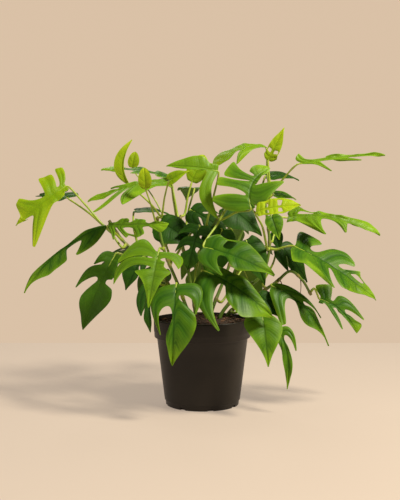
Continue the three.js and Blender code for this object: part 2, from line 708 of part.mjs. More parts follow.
// The leaf stalk, from the skin of its vine to where it runs out under the midrib.
function petioleSolid(leaf, course, vine) {
  const [, share] = leaf.stalk;
  const root = vine.curve.getPointAt(share);
  const axis = vine.curve.getTangentAt(share);
  const base = vector(leaf.base);
  const away = base.clone().sub(root);
  away.addScaledVector(axis, -away.dot(axis)).normalize();
  const start = root.clone().addScaledVector(away, vine.radiusAt(share) + petiole.axilGap);
  const elbow = start.clone().addScaledVector(away, petiole.axil);
  const bow = base.distanceTo(elbow) * (leaf.bow ?? 0.06);
  const knee = elbow.clone().lerp(base, 0.5).addScaledVector(axis, bow);
  const under = [-0.01, 0.06, 0.13].map((along) => {
    const edge = (leaf.band ?? blade.band) * course.length;
    const [right, left] = [edge, -edge].map((x) => bladePoint(course, leaf, x, along * course.length));
    const { up } = bladeFrame(course, leaf, along);
    return right.lerp(left, 0.5).addScaledVector(up, -0.45 * blade.thickness);
  });
  const curve = new THREE.CatmullRomCurve3([start, elbow, knee, ...under], false, 'centripetal');
  const radiusAt = (along) => {
    if (along > 0.95) {
      return petiole.keelRadius;
    }
    return lerp(petiole.stemRadius, petiole.bladeRadius, along) * (leaf.slim ?? 1);
  };
  return bentTube(curve, radiusAt, petiole.sides, petiole.steps);
}

// ---------------------------------------------------------------- leaves
// stalk: the vine and how far along it; base, tip: the blade's two ends; face: where its upper side looks;
// arch, sway: how far its midrib rises over, and bows to the right of, the straight line between the ends;
// band: its own uncut strip; spread: how much wider its left and right halves are than planned.
const leaves = {
  far_left: {
    stalk: ['left', 0.96], plan: 'far_left', base: [-229, 0, 369], tip: [-310, -20, 303],
    face: [0, -0.9, 0.4], arch: 8, colour: 'fresh',
  },
  far_left_rear: {
    stalk: ['left', 0.9], plan: 'twoCut', base: [-234, 50, 349], tip: [-289, 110, 351], face: [0, -0.3, 1],
    arch: 10, colour: 'shaded',
  },
  left_arch: {
    stalk: ['left', 0.8], plan: 'left_arch', base: [-160, -18, 302], tip: [-294, -40, 193],
    face: [-0.2, -0.8, 0.5], arch: 8, sway: 14, fold: -8, band: 0.02,
  },
  left_upright: {
    stalk: ['back', 0.86], plan: 'left_upright', base: [-125, -2, 374], tip: [-117, -12, 446],
    face: [0.1, -0.95, 0.2], arch: 8, sway: -13, colour: 'fresh', band: 0.03,
  },
  left_bud: {
    stalk: ['back', 0.8], plan: 'young', base: [-124, 76, 403], tip: [-118, 76, 431], face: [0, -0.8, 0.5],
    arch: 2, spread: [0.8, 0.9], colour: 'fresh', slim: 0.7,
  },
  left_ledge_rear: {
    stalk: ['back', 0.98], plan: 'left_ledge_rear', base: [-56, 44, 384], tip: [-174, 34, 397],
    face: [0, -0.35, 0.94], arch: 8, fold: 0, droop: 0.1, band: 0.04,
  },
  left_ledge: {
    stalk: ['back', 0.92], plan: 'left_ledge', base: [-55, -34, 376], tip: [-184, -72, 343],
    face: [0, -0.6, 0.8], arch: 12, sway: -2, fold: 0, droop: 0.2, band: 0.02,
  },
  left_young: {
    stalk: ['mid_left', 0.96], plan: 'young', base: [-90, -90, 364], tip: [-92, -96, 397],
    face: [0, -1, 0.1], arch: 3, spread: [0.75, 0.75], colour: 'fresh', slim: 0.8,
  },
  left_folded: {
    stalk: ['mid_left', 1], plan: 'entire', base: [-52, -100, 375], tip: [-21, -100, 391],
    face: [0, -0.8, 0.6], arch: 3, fold: 30, colour: 'fresh', slim: 0.8,
  },
  top_crescent: {
    stalk: ['centre', 0.8], plan: 'top_crescent', base: [25, -44, 393], tip: [-59, -44, 401],
    face: [0, -0.9, 0.4], arch: 6,
  },
  top_lime: {
    stalk: ['back', 1], plan: 'young', base: [-18, 40, 377], tip: [3, 50, 424], face: [0, -0.95, 0.3],
    arch: 4, colour: 'fresh', spread: [0.8, 0.8],
  },
  top_broad: {
    stalk: ['centre', 0.9], plan: 'top_broad', base: [76, -100, 332], tip: [109, -60, 397],
    face: [-0.1, -0.75, 0.62], arch: 8, sway: -13, curl: 0.12, droop: 0.05,
  },
  top_arch: {
    stalk: ['right', 0.97], plan: 'top_arch', base: [107, 18, 437], tip: [20, -6, 397],
    face: [-0.2, -0.55, 0.8], arch: 14, sway: 3, curl: 0.15, droop: 0.05, fold: -6, colour: 'fresh',
    band: 0.03,
  },
  top_spear: {
    stalk: ['right', 1], plan: 'windowed', base: [110, -10, 412], tip: [136, -10, 466], face: [0, -1, 0.2],
    arch: 4, spread: [0.65, 0.65], colour: 'fresh',
  },
  lime_windowed: {
    stalk: ['right', 0.68], plan: 'lime_windowed', base: [83, -118, 327], tip: [151, -128, 337],
    face: [-0.1, -0.75, 0.66], arch: 5, colour: 'fresh', band: 0.03,
  },
  right_strap: {
    stalk: ['rear_right', 0.96], plan: 'right_strap', base: [163, 20, 407], tip: [313, 30, 423],
    face: [-0.1, -0.8, 0.6], arch: 6, band: 0.02,
  },
  right_shaded: {
    stalk: ['rear_right', 1], plan: 'entire', base: [112, 70, 388], tip: [171, 80, 380],
    face: [0, -0.4, 0.9], arch: 6, colour: 'shaded',
  },
  right_behind: {
    stalk: ['rear_right', 0.9], plan: 'entire', base: [125, 60, 356], tip: [165, 70, 346],
    face: [0, -0.5, 0.85], arch: 4,
  },
  right_ledge: {
    stalk: ['right', 0.86], plan: 'right_ledge', base: [144, -4, 317], tip: [293, -30, 287],
    face: [0, -0.7, 0.7], arch: 19, curl: 0.3, droop: 0.2, fold: 4, band: 0.025,
  },
  right_drop: {
    stalk: ['right', 0.8], plan: 'entire', base: [110, -70, 321], tip: [123, -76, 282], face: [0, -1, 0.1],
    arch: 3, spread: [1.3, 1.0],
  },
  right_inner: {
    stalk: ['right', 0.72], plan: 'entire', base: [124, 12, 292], tip: [131, 2, 258], face: [0, -1, 0.2],
    arch: 3, colour: 'shaded',
  },
  right_broad: {
    stalk: ['right', 0.68], plan: 'right_broad', base: [151, -30, 269], tip: [282, -60, 183],
    face: [0.35, -0.6, 0.7], arch: 14, sway: 7, curl: 0.3, droop: 0.2, band: 0.05,
  },
  right_under: {
    stalk: ['low_right', 0.5], plan: 'armed', base: [132, 30, 268], tip: [180, 30, 204],
    face: [0.3, -0.8, 0.5], arch: 6, colour: 'shaded',
  },
  right_low: {
    stalk: ['low_right', 0.98], plan: 'right_low', base: [203, 30, 175], tip: [264, 10, 119],
    face: [0.2, -0.9, 0.4], arch: 6, sway: -8, curl: 0.3, droop: 0.1,
  },
  right_apron: {
    stalk: ['low_right', 0.6], plan: 'right_apron', base: [114, -40, 205], tip: [205, -60, 108],
    face: [0.2, -0.9, 0.4], arch: 8, sway: -13, band: 0.04,
  },
  rim_glossy: {
    stalk: ['low_right', 0.2], plan: 'rim_glossy', base: [94, -100, 166], tip: [102, -130, 87],
    face: [0, -0.93, 0.35], arch: 8,
  },
  rim_tail: {
    stalk: ['low_right', 0.4], plan: 'rim_tail', base: [121, -76, 139], tip: [136, -84, 42],
    face: [0, -0.98, 0.2], arch: 8, sway: -8, band: 0.04,
  },
  rim_shaded: {
    stalk: ['low_right', 0.3], plan: 'entire', base: [92, -40, 189], tip: [130, -50, 151],
    face: [0.2, -0.8, 0.5], arch: 6, spread: [1.2, 1.2], colour: 'shaded',
  },
  front_centre: {
    stalk: ['centre', 0.4], plan: 'front_centre', base: [1, -92, 234], tip: [109, -122, 163],
    face: [0.2, -0.75, 0.6], arch: 12,
  },
  front_left: {
    stalk: ['mid_left', 0.34], plan: 'front_left', base: [-41, -134, 216], tip: [-47, -154, 94],
    face: [0, -0.96, 0.2], arch: 16, curl: 0.8, band: 0.04,
  },
  mid_left: {
    stalk: ['mid_left', 0.76], plan: 'mid_left', base: [-68, -130, 266], tip: [-82, -166, 184],
    face: [0, -0.9, 0.35], arch: 8,
  },
  left_broad: {
    stalk: ['left', 0.62], plan: 'left_broad', base: [-143, -30, 257], tip: [-195, -60, 135],
    face: [-0.2, -0.9, 0.3], arch: 12, colour: 'shaded',
  },
  left_under: {
    stalk: ['left', 0.44], plan: 'armed', base: [-98, -34, 253], tip: [-126, -44, 198],
    face: [-0.1, -0.95, 0.2], arch: 4, spread: [0.7, 1.6], colour: 'shaded',
  },
  left_drop: {
    stalk: ['left', 0.4], plan: 'left_drop', base: [-89, -55, 216], tip: [-84, -75, 133],
    face: [-0.1, -0.95, 0.2], arch: 4, band: 0.03, colour: 'shaded',
  },
  left_shelf: {
    stalk: ['left', 0.84], plan: 'left_shelf', base: [-153, -64, 305], tip: [-53, -104, 309],
    face: [0, -0.85, 0.5], arch: 5, sway: 3, fold: 0, band: 0.04,
  },
  left_shelf_rear: {
    stalk: ['left', 0.72], plan: 'entire', base: [-118, 60, 327], tip: [-55, 60, 318], face: [0, -0.2, 1],
    arch: 6, colour: 'shaded',
  },
  centre_broad: {
    stalk: ['centre', 1], plan: 'centre_broad', base: [2, -108, 272], tip: [110, -140, 230],
    face: [0.1, -0.75, 0.65], arch: 8,
  },
  centre_shaded: {
    stalk: ['mid_left', 0.66], plan: 'twoCut', base: [-4, -50, 305], tip: [-24, -60, 232],
    face: [-0.2, -0.9, 0.3], arch: 6, colour: 'shaded',
  },
  inner_left: {
    stalk: ['mid_left', 0.62], plan: 'entire', base: [-71, -24, 309], tip: [-11, -38, 268],
    face: [0, -0.8, 0.6], arch: 6, spread: [1.3, 1.3], colour: 'shaded',
  },
  inner_mid: {
    stalk: ['centre', 0.7], plan: 'armed', base: [-21, 4, 330], tip: [46, -12, 285], face: [0, -0.8, 0.6],
    arch: 6, colour: 'shaded',
  },
  inner_right: {
    stalk: ['rear_right', 0.6], plan: 'entire', base: [40, 20, 336], tip: [101, 10, 285],
    face: [0, -0.8, 0.6], arch: 6, spread: [1.2, 1.2], colour: 'shaded',
  },
  inner_low: {
    stalk: ['right', 0.3], plan: 'entire', base: [72, -20, 280], tip: [104, -22, 204],
    face: [0.1, -0.9, 0.4], arch: 6, colour: 'shaded',
  },
  inner_front: {
    stalk: ['back', 0.6], plan: 'entire', base: [32, -48, 298], tip: [8, -58, 205],
    face: [-0.1, -0.95, 0.3], arch: 6, colour: 'shaded',
  },
  back_top: {
    stalk: ['back', 0.84], plan: 'armed', base: [-14, 76, 366], tip: [-30, 156, 346], face: [0, 0.2, 1],
    arch: 8,
  },
  back_left: {
    stalk: ['back', 0.7], plan: 'armed', base: [-50, 96, 300], tip: [-74, 188, 250],
    face: [-0.1, 0.5, 0.85], arch: 12,
  },
  back_right: {
    stalk: ['rear_right', 0.66], plan: 'armed', base: [48, 124, 300], tip: [66, 214, 246],
    face: [0.1, 0.5, 0.85], arch: 12,
  },
  back_far_left: {
    stalk: ['left', 0.56], plan: 'twoCut', base: [-112, 78, 262], tip: [-182, 140, 206],
    face: [-0.4, 0.4, 0.8], arch: 12, colour: 'shaded',
  },
  back_far_right: {
    stalk: ['rear_right', 0.5], plan: 'armed', base: [116, 106, 262], tip: [176, 176, 206],
    face: [0.4, 0.4, 0.8], arch: 12, colour: 'shaded',
  },
  back_centre: {
    stalk: ['back', 0.4], plan: 'armed', base: [-6, 92, 240], tip: [-14, 146, 152], face: [0, 0.9, 0.4],
    arch: 12,
  },
  back_low_right: {
    stalk: ['rear_right', 0.24], plan: 'entire', base: [74, 96, 222], tip: [100, 128, 140],
    face: [0.3, 0.85, 0.4], arch: 8,
  },
  back_low_left: {
    stalk: ['left', 0.3], plan: 'entire', base: [-76, 84, 222], tip: [-110, 124, 140],
    face: [-0.3, 0.85, 0.4], arch: 10, colour: 'shaded',
  },
};

const vines = Object.entries(vineRoutes).map(([name, vine]) => makeVine(name, vine));
const vineByName = Object.fromEntries(Object.keys(vineRoutes).map((name, i) => [name, vines[i]]));

const plant = new THREE.Group();
plant.add(toMesh('pot', potSolid(), colours.pot, 0.55));
plant.add(toMesh('soil', soilSolid(vines), colours.soil, 0.95));
for (const vine of vines) {
  plant.add(toMesh(vine.name, vine.solid, colours.vine, 0.6));
}
for (const [name, leaf] of Object.entries(leaves)) {
  const course = bladeCourse(leaf);
  const stalk = petioleSolid(leaf, course, vineByName[leaf.stalk[0]]);
  const solid = bladeSolid(leaf, course).add(stalk);
  plant.add(toMesh(`leaf_${name}`, solid, colours[leaf.colour ?? 'mature'], 0.42));
}

export default plant;
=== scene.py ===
import math
import random

import bmesh
import bpy
from mathutils import Matrix, Quaternion, Vector, noise


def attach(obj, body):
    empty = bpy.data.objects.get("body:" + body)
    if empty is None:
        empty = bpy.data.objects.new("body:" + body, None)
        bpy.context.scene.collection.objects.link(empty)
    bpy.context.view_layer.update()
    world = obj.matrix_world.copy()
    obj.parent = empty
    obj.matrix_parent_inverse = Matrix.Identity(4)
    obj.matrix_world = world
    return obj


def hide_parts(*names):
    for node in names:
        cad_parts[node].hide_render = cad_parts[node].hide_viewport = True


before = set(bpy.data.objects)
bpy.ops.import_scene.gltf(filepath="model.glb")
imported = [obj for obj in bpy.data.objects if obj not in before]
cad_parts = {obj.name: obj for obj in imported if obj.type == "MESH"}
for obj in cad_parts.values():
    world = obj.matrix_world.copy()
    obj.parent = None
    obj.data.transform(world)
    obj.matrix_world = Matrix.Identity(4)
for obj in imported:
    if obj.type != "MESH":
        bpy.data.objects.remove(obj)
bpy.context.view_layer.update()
mm = 0.001
fullTurn = 2 * math.pi
sharpAngle = math.radians(42)
scene = bpy.context.scene
chance = random.Random(11)


def addObject(name, data):
    made = bpy.data.objects.new(name, data)
    scene.collection.objects.link(made)
    return made


def makeObject(name, bm, materials, smooth=True):
    mesh = bpy.data.meshes.new(name)
    for face in bm.faces:
        face.smooth = smooth
    bm.to_mesh(mesh)
    bm.free()
    for material in materials:
        mesh.materials.append(material)
    return addObject(name, mesh)


def finishPiece(piece, node=None):
    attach(piece, "root")
    if node:
        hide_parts(node)


# shader building

def addNode(tree, kind, inputs=None, **settings):
    node = tree.nodes.new(kind)
    for key, value in settings.items():
        setattr(node, key, value)
    for key, value in (inputs or {}).items():
        if isinstance(value, bpy.types.NodeSocket):
            tree.links.new(value, node.inputs[key])
        else:
            node.inputs[key].default_value = value
    return node


def maths(tree, operation, first, second, clamp=False):
    inputs = {0: first, 1: second}
    return addNode(tree, "ShaderNodeMath", inputs, operation=operation, use_clamp=clamp).outputs[0]


def mixColour(tree, share, first, second):
    inputs = {0: share, 6: first, 7: second}  # the factor and the two colour sockets
    return addNode(tree, "ShaderNodeMix", inputs, data_type="RGBA").outputs[2]


def ramp(tree, value, low, high, toLow=0.0, toHigh=1.0):
    inputs = {"Value": value, "From Min": low, "From Max": high, "To Min": toLow, "To Max": toHigh}
    node = addNode(tree, "ShaderNodeMapRange", inputs, interpolation_type="SMOOTHSTEP")
    return node.outputs["Result"]


def attribute(tree, name):
    return addNode(tree, "ShaderNodeAttribute", attribute_name=name).outputs["Fac"]


def startGroup(name, inputs, outputs):
    tree = bpy.data.node_groups.new(name, "ShaderNodeTree")
    for label, default in inputs.items():
        kind = "NodeSocketColor" if isinstance(default, tuple) else "NodeSocketFloat"
        socket = tree.interface.new_socket(name=label, in_out="INPUT", socket_type=kind)
        socket.default_value = default
    for label in outputs:
        kind = "NodeSocketColor" if label == "Colour" else "NodeSocketFloat"
        tree.interface.new_socket(name=label, in_out="OUTPUT", socket_type=kind)
    return tree, addNode(tree, "NodeGroupInput").outputs, addNode(tree, "NodeGroupOutput").inputs


def startMaterial(name):
    material = bpy.data.materials.new(name)
    material.use_nodes = True
    return material, material.node_tree, material.node_tree.nodes["Principled BSDF"]


def patternMaterial(name, group, finish):
    # a material whose colour, roughness and height come from one node group
    material, tree, shader = startMaterial(name)
    inputs = {label: (*value, 1) if isinstance(value, tuple) else value
              for label, value in finish["pattern"].items()}
    node = addNode(tree, "ShaderNodeGroup", inputs, node_tree=group)
    strength, distance = finish["bump"]
    bump = {"Height": node.outputs["Height"], "Strength": strength, "Distance": distance}
    relief = addNode(tree, "ShaderNodeBump", bump)
    tree.links.new(node.outputs["Colour"], shader.inputs["Base Color"])
    tree.links.new(node.outputs["Roughness"], shader.inputs["Roughness"])
    tree.links.new(relief.outputs["Normal"], shader.inputs["Normal"])
    for key, value in finish["shader"].items():
        shader.inputs[key].default_value = value
    return material


# camera, lights and floor

cameraView = {"place": (-0.00407, -1.5, 0.345), "tiltDown": 3.18, "lens": 64.08, "reach": 20}
lamps = {
    "key": {"place": (1.2, -1.0, 2.0), "size": 0.45, "power": 80, "colour": (1.0, 0.93, 0.76)},
    "fill": {"place": (-1.9, -1.6, 1.1), "size": 1.4, "power": 10, "colour": (1.0, 0.95, 0.88)},
    "back": {"place": (-0.4, 1.6, 1.8), "size": 0.9, "power": 12, "colour": (1.0, 0.95, 0.86)},
}
lampAim = Vector((0, 0, 0.25))
skySetup = {"colour": (1.0, 0.87, 0.62), "strength": 0.13, "backdrop": (0.7, 0.535, 0.385)}
floorSetup = {"colour": (0.345, 0.28, 0.227), "roughness": 0.9, "glow": 1.0,
              "width": 3.0, "front": -1.6, "back": 0.643}


def setCamera():
    data = bpy.data.cameras.new("camera")
    data.lens, data.clip_end = cameraView["lens"], cameraView["reach"]
    camera = addObject("camera", data)
    camera.location = cameraView["place"]
    camera.rotation_euler = (math.radians(90 - cameraView["tiltDown"]), 0, 0)
    scene.camera = camera


def setLights():
    for name, lamp in lamps.items():
        data = bpy.data.lights.new(name, "AREA")
        data.energy, data.size, data.color = lamp["power"], lamp["size"], lamp["colour"]
        light = addObject(name, data)
        light.location = lamp["place"]
        light.rotation_euler = (lampAim - light.location).to_track_quat("-Z", "Y").to_euler()
    world = bpy.data.worlds.new("studio")
    world.use_nodes = True
    tree = world.node_tree
    sky = tree.nodes["Background"]
    sky.inputs["Color"].default_value = (*skySetup["colour"], 1)
    sky.inputs["Strength"].default_value = skySetup["strength"]
    seen = addNode(tree, "ShaderNodeBackground", {"Color": (*skySetup["backdrop"], 1)})
    direct = addNode(tree, "ShaderNodeLightPath").outputs["Is Camera Ray"]
    both = addNode(tree, "ShaderNodeMixShader", {0: direct, 1: sky.outputs[0], 2: seen.outputs[0]})
    tree.links.new(both.outputs[0], tree.nodes["World Output"].inputs["Surface"])
    scene.world = world
    scene.view_settings.view_transform = "Standard"


def layFloor():
    front, back = floorSetup["front"], floorSetup["back"]
    material, _, shader = startMaterial("floorPaint")
    for key in ("Base Color", "Emission Color"):
        shader.inputs[key].default_value = (*floorSetup["colour"], 1)
    shader.inputs["Roughness"].default_value = floorSetup["roughness"]
    shader.inputs["Emission Strength"].default_value = floorSetup["glow"]
    bm = bmesh.new()
    bmesh.ops.create_grid(bm, x_segments=1, y_segments=1, size=0.5)
    bmesh.ops.scale(bm, vec=(floorSetup["width"], back - front, 1), verts=bm.verts)
    bmesh.ops.translate(bm, vec=(0, (front + back) / 2, 0), verts=bm.verts)
    makeObject("floor", bm, [material])


setCamera()
setLights()
layFloor()

# node groups that the finishes share; a ramp's numbers are where it starts and ends, and
# what it gives there

bladeLayers = ("rim", "rib", "veinRun", "along", "tone")
leafMarks = {
    "patchSize": 32.0, "speckSize": 700.0, "wander": 0.12,
    "vein": (0.01, 0.13, 1, 0), "fineVeins": 5.0, "fineVein": (0, 0.2, 1, 0), "fineShare": 0.5,
    "veinFade": (0.45, 1, 1, 0.15), "sideShare": 0.8, "midrib": (0.7, 1.9, 1, 0),
    "besideRib": (1, 7, 1, 0), "besideShare": 0.3, "tipVeins": (0.7, 0.95, 1, 0.2),
    "edgePower": 5.0, "edgePatches": (0.3, 0.6, 0.6, 1.15), "tipGrowth": (0.6, 1, 0, 1.4),
    # ridge is a painted highlight on the raised blade between the side veins
    "ridgeHighlight": (0.12, 0.42, 0, 0.25), "mottle": (0.35, 0.68, 0, 0.4),
    # lighter and deeper turn each leaf's tone towards the paler or the darker colour; that tone is
    # partly the leaf's own colour and partly painted light and shade
    "lighter": (0, 1, 0, 0.75), "deeper": (-1, 0, 0.65, 0),
    "speckDull": (0.3, 0.7, -0.03, 0.08), "veinDull": 0.1,
    "speckHeight": 0.02, "veinDepth": 0.8, "patchHeight": 0.5,
}
surfaceMarks = {
    "mottle": (0.36, 0.64), "specks": (0.3, 0.7), "speckShare": 0.5,
    "speckDull": (0.3, 0.7, -0.05, 0.06), "patchHeight": 0.5,
}


def grainGroup():
    # patches and fine specks, from the piece's own coordinates
    sizes = {"PatchSize": 40.0, "SpeckSize": 900.0, "Stretch": 1.0}
    tree, given, out = startGroup("grain", sizes, ["Patch", "Speck"])
    where = addNode(tree, "ShaderNodeTexCoord").outputs["Object"]
    squeeze = addNode(tree, "ShaderNodeCombineXYZ", {"X": 1.0, "Y": 1.0, "Z": given["Stretch"]})
    mapped = addNode(tree, "ShaderNodeMapping", {"Vector": where, "Scale": squeeze.outputs[0]})
    for label, detail, roughness in (("Patch", 3.0, 0.55), ("Speck", 2.0, 0.6)):
        cloud = {"Vector": mapped.outputs[0], "Scale": given[label + "Size"],
                 "Detail": detail, "Roughness": roughness}
        tree.links.new(addNode(tree, "ShaderNodeTexNoise", cloud).outputs["Fac"], out[label])
    return tree


def addGrain(tree, patchSize, speckSize, stretch):
    sizes = {"PatchSize": patchSize, "SpeckSize": speckSize, "Stretch": stretch}
    return addNode(tree, "ShaderNodeGroup", sizes, node_tree=grainPattern).outputs


def leafGroup():
    # colour, gloss and relief of a blade, from attributes that follow its veins and margins; its
    # colour also holds painted light: a painted highlight between the veins, painted shade in the
    # vein grooves, and each leaf's tone, partly painted light and shade
    tree, given, out = startGroup(
        "leafPattern",
        {"Blade": (0.05, 0.2, 0.02, 1), "Margin": (0.2, 0.4, 0.03, 1),
         "VeinMottleAndShade": (0.02, 0.1, 0.01, 1), "MarginAndLightShare": 0.5, "VeinShare": 0.5, "Gloss": 0.35},
        ["Colour", "Roughness", "Height"],
    )
    marks = leafMarks
    patch, speck = addGrain(tree, marks["patchSize"], marks["speckSize"], 1.0)
    rim, rib, run, along, tone = (attribute(tree, key) for key in bladeLayers)

    def times(first, second, clamp=False):
        return maths(tree, "MULTIPLY", first, second, clamp)

    def larger(first, second, clamp=False):
        return maths(tree, "MAXIMUM", first, second, clamp)

    def marked(key, value):
        return ramp(tree, value, *marks[key])

    def toWhole(value):  # how far a number is from the nearest whole one
        return maths(tree, "PINGPONG", maths(tree, "ADD", value, 0.5), 0.5)

    # side veins: one strong vein down each lobe and finer ones beside it
    shifted = maths(tree, "ADD", run, times(maths(tree, "SUBTRACT", patch, 0.5), marks["wander"]))
    between = toWhole(shifted)
    fine = marked("fineVein", toWhole(times(shifted, marks["fineVeins"])))
    sideVeins = larger(marked("vein", between), times(fine, marks["fineShare"]))
    sideVeins = times(times(sideVeins, marked("veinFade", rim)), marks["sideShare"])
    veins = larger(sideVeins, marked("midrib", rib), True)
    # paler, yellower growth at the margins and towards the tip, and a painted highlight on the
    # raised blade between the veins
    edge = times(maths(tree, "POWER", rim, marks["edgePower"]), given["MarginAndLightShare"])
    edge = times(edge, marked("edgePatches", patch), True)
    tipward = times(marked("tipGrowth", along), given["MarginAndLightShare"], True)
    ridgeHighlight = times(marked("ridgeHighlight", between), given["MarginAndLightShare"])
    # on the upper side the veins and the crease beside the midrib are painted darker, as painted
    # shade in their grooves, though less so in the narrow tip; underneath the veins go paler
    veinShade = larger(veins, times(marked("besideRib", rib), marks["besideShare"]))
    veinShade = times(times(veinShade, given["VeinShare"]), marked("tipVeins", along))
    colour = given["Blade"]
    # the mixes: random mottle; margins, tip and the painted ridge highlight; the painted vein
    # shade; then each leaf's tone, partly its own colour and partly painted light and shade
    for share, other in (
        (marked("mottle", patch), "VeinMottleAndShade"), (larger(larger(edge, tipward), ridgeHighlight), "Margin"),
        (veinShade, "VeinMottleAndShade"), (marked("lighter", tone), "Margin"), (marked("deeper", tone), "VeinMottleAndShade"),
    ):
        colour = mixColour(tree, share, colour, given[other])
    rough = maths(tree, "ADD", given["Gloss"], marked("speckDull", speck))
    carved = times(veins, marks["veinDepth"])
    relief = maths(tree, "SUBTRACT", times(speck, marks["speckHeight"]), carved)
    tree.links.new(colour, out["Colour"])
    tree.links.new(maths(tree, "ADD", rough, times(veins, marks["veinDull"])), out["Roughness"])
    tree.links.new(maths(tree, "ADD", relief, times(patch, marks["patchHeight"])), out["Height"])
    return tree


def surfaceGroup():
    # stems, pot, peat and bark: two colours in patches, a ring colour and specks
    tree, given, out = startGroup(
        "twoToneSurface",
        {"Main": (0.1, 0.1, 0.1, 1), "Second": (0.2, 0.2, 0.2, 1), "Ring": (0.2, 0.15, 0.05, 1),
         "PatchSize": 40.0, "SpeckSize": 900.0, "Stretch": 1.0, "Mottle": 0.5, "Dull": 0.5,
         "SpeckDepth": 0.5},
        ["Colour", "Roughness", "Height"],
    )
    marks = surfaceMarks
    patch, speck = addGrain(tree, given["PatchSize"], given["SpeckSize"], given["Stretch"])
    mottle = maths(tree, "MULTIPLY", ramp(tree, patch, *marks["mottle"]), given["Mottle"])
    speckShare = maths(tree, "MULTIPLY", given["Mottle"], marks["speckShare"])
    specks = maths(tree, "MULTIPLY", ramp(tree, speck, *marks["specks"]), speckShare)
    colour = given["Main"]
    for share, other in ((mottle, "Second"), (specks, "Second"), (attribute(tree, "ring"), "Ring")):
        colour = mixColour(tree, share, colour, given[other])
    dull = maths(tree, "ADD", given["Dull"], ramp(tree, speck, *marks["speckDull"]))
    speckHeight = maths(tree, "MULTIPLY", speck, given["SpeckDepth"])
    height = maths(tree, "ADD", speckHeight, maths(tree, "MULTIPLY", patch, marks["patchHeight"]))
    for label, result in (("Colour", colour), ("Roughness", dull), ("Height", height)):
        tree.links.new(result, out[label])
    return tree


grainPattern = grainGroup()
leafPattern = leafGroup()
surfacePattern = surfaceGroup()

# leaf and stem finishes

leafInputs = ("Blade", "Margin", "VeinMottleAndShade", "MarginAndLightShare", "VeinShare", "Gloss")
leafFinish = {  # the three colours, the shares of margin and vein, and the roughness
    "Upper_fresh": ((0.2, 0.33, 0.004), (0.4, 0.5, 0.01), (0.11, 0.24, 0.004), 0.5, 0.2, 0.45),
    "Under_fresh": ((0.27, 0.41, 0.012), (0.42, 0.52, 0.015), (0.33, 0.46, 0.03), 0.4, 0.6, 0.52),
    "Upper_mature": ((0.054, 0.152, 0.0075), (0.23, 0.4, 0.012), (0.016, 0.07, 0.003),
                     0.6, 0.8, 0.38),
    "Under_mature": ((0.085, 0.19, 0.015), (0.18, 0.31, 0.02), (0.15, 0.27, 0.03), 0.4, 0.6, 0.52),
    # the shaded colours are painted shade: darker copies of the leaf colours for leaves inside and
    # behind the clump, where shade falls
    "Upper_shaded": ((0.02, 0.075, 0.004), (0.06, 0.15, 0.006), (0.007, 0.032, 0.002),
                     0.35, 0.6, 0.46),
    "Under_shaded": ((0.035, 0.1, 0.01), (0.07, 0.15, 0.012), (0.08, 0.15, 0.02), 0.4, 0.6, 0.52),
}
leafBump = {"Upper": (0.35, 0.0009), "Under": (-0.3, 0.0009)}  # strength and distance
leafShader = {"IOR": 1.45, "Specular IOR Level": 0.16, "Subsurface Weight": 0.16,
              "Subsurface Scale": 1.0, "Subsurface Radius": (0.0012, 0.0022, 0.0003)}
stemInputs = ("Main", "Second", "Ring", "Dull")
stemFinish = {
    "stalkSkin": ((0.37, 0.48, 0.035), (0.25, 0.39, 0.025), (0.44, 0.48, 0.08), 0.42),
    "vineSkin": ((0.15, 0.25, 0.02), (0.085, 0.17, 0.015), (0.26, 0.22, 0.06), 0.5),
    "aerialRoot": ((0.1, 0.055, 0.025), (0.2, 0.13, 0.06), (0.1, 0.055, 0.025), 0.75),
}
stemGrain = {"PatchSize": 90.0, "SpeckSize": 800.0, "Stretch": 0.25, "Mottle": 0.6,
             "SpeckDepth": 0.3}
stemBump = (0.3, 0.0006)
stemShader = {"Subsurface Weight": 0.06, "Subsurface Radius": (0.001, 0.0016, 0.0005)}


def leafMaterial(side, kind):
    values = dict(zip(leafInputs, leafFinish[f"{side}_{kind}"]))
    finish = {"pattern": values, "bump": leafBump[side], "shader": leafShader}
    return patternMaterial(f"leaf{side}_{kind}", leafPattern, finish)


def stemMaterial(name):
    values = dict(zip(stemInputs, stemFinish[name]))
    finish = {"pattern": {**stemGrain, **values}, "bump": stemBump, "shader": stemShader}
    return patternMaterial(name, surfacePattern, finish)


leafMaterials = {kind: [leafMaterial(side, kind) for side in ("Upper", "Under")]
                 for kind in ("fresh", "mature", "shaded")}
stalkMaterial, vineMaterial, rootMaterial = (stemMaterial(name) for name in stemFinish)
print("stage and finishes ready")

# routes and round tubes along them

routeFine = {"points": 240, "direction": 0.004}  # points on a route, and the reach of its direction


def splinePoint(points, place):
    # one point of a smooth line through all the points, evenly tensioned whatever their spacing
    i = min(int(place), len(points) - 2)
    t = place - i
    start, end = points[i], points[i + 1]
    before = points[i - 1] if i else 2 * start - end
    after = points[i + 2] if i + 2 < len(points) else 2 * end - start
    gaps = [(b - a).length ** 0.5 for a, b in ((before, start), (start, end), (end, after))]
    lead = ((start - before) / gaps[0] - (end - before) / (gaps[0] + gaps[1])
            + (end - start) / gaps[1])
    trail = ((end - start) / gaps[1] - (after - start) / (gaps[1] + gaps[2])
             + (after - end) / gaps[2])
    return (start * (2 * t ** 3 - 3 * t ** 2 + 1) + lead * gaps[1] * (t ** 3 - 2 * t ** 2 + t)
            + end * (3 * t ** 2 - 2 * t ** 3) + trail * gaps[1] * (t ** 3 - t ** 2))


def makeRoute(points):
    # the smooth line, measured, so that a share of its length gives a point on it
    count = routeFine["points"]
    fine = [splinePoint(points, i * (len(points) - 1) / count) for i in range(count + 1)]
    runs = [0.0]
    for a, b in zip(fine, fine[1:]):
        runs.append(runs[-1] + (b - a).length)
    return {"points": fine, "runs": runs, "length": runs[-1]}


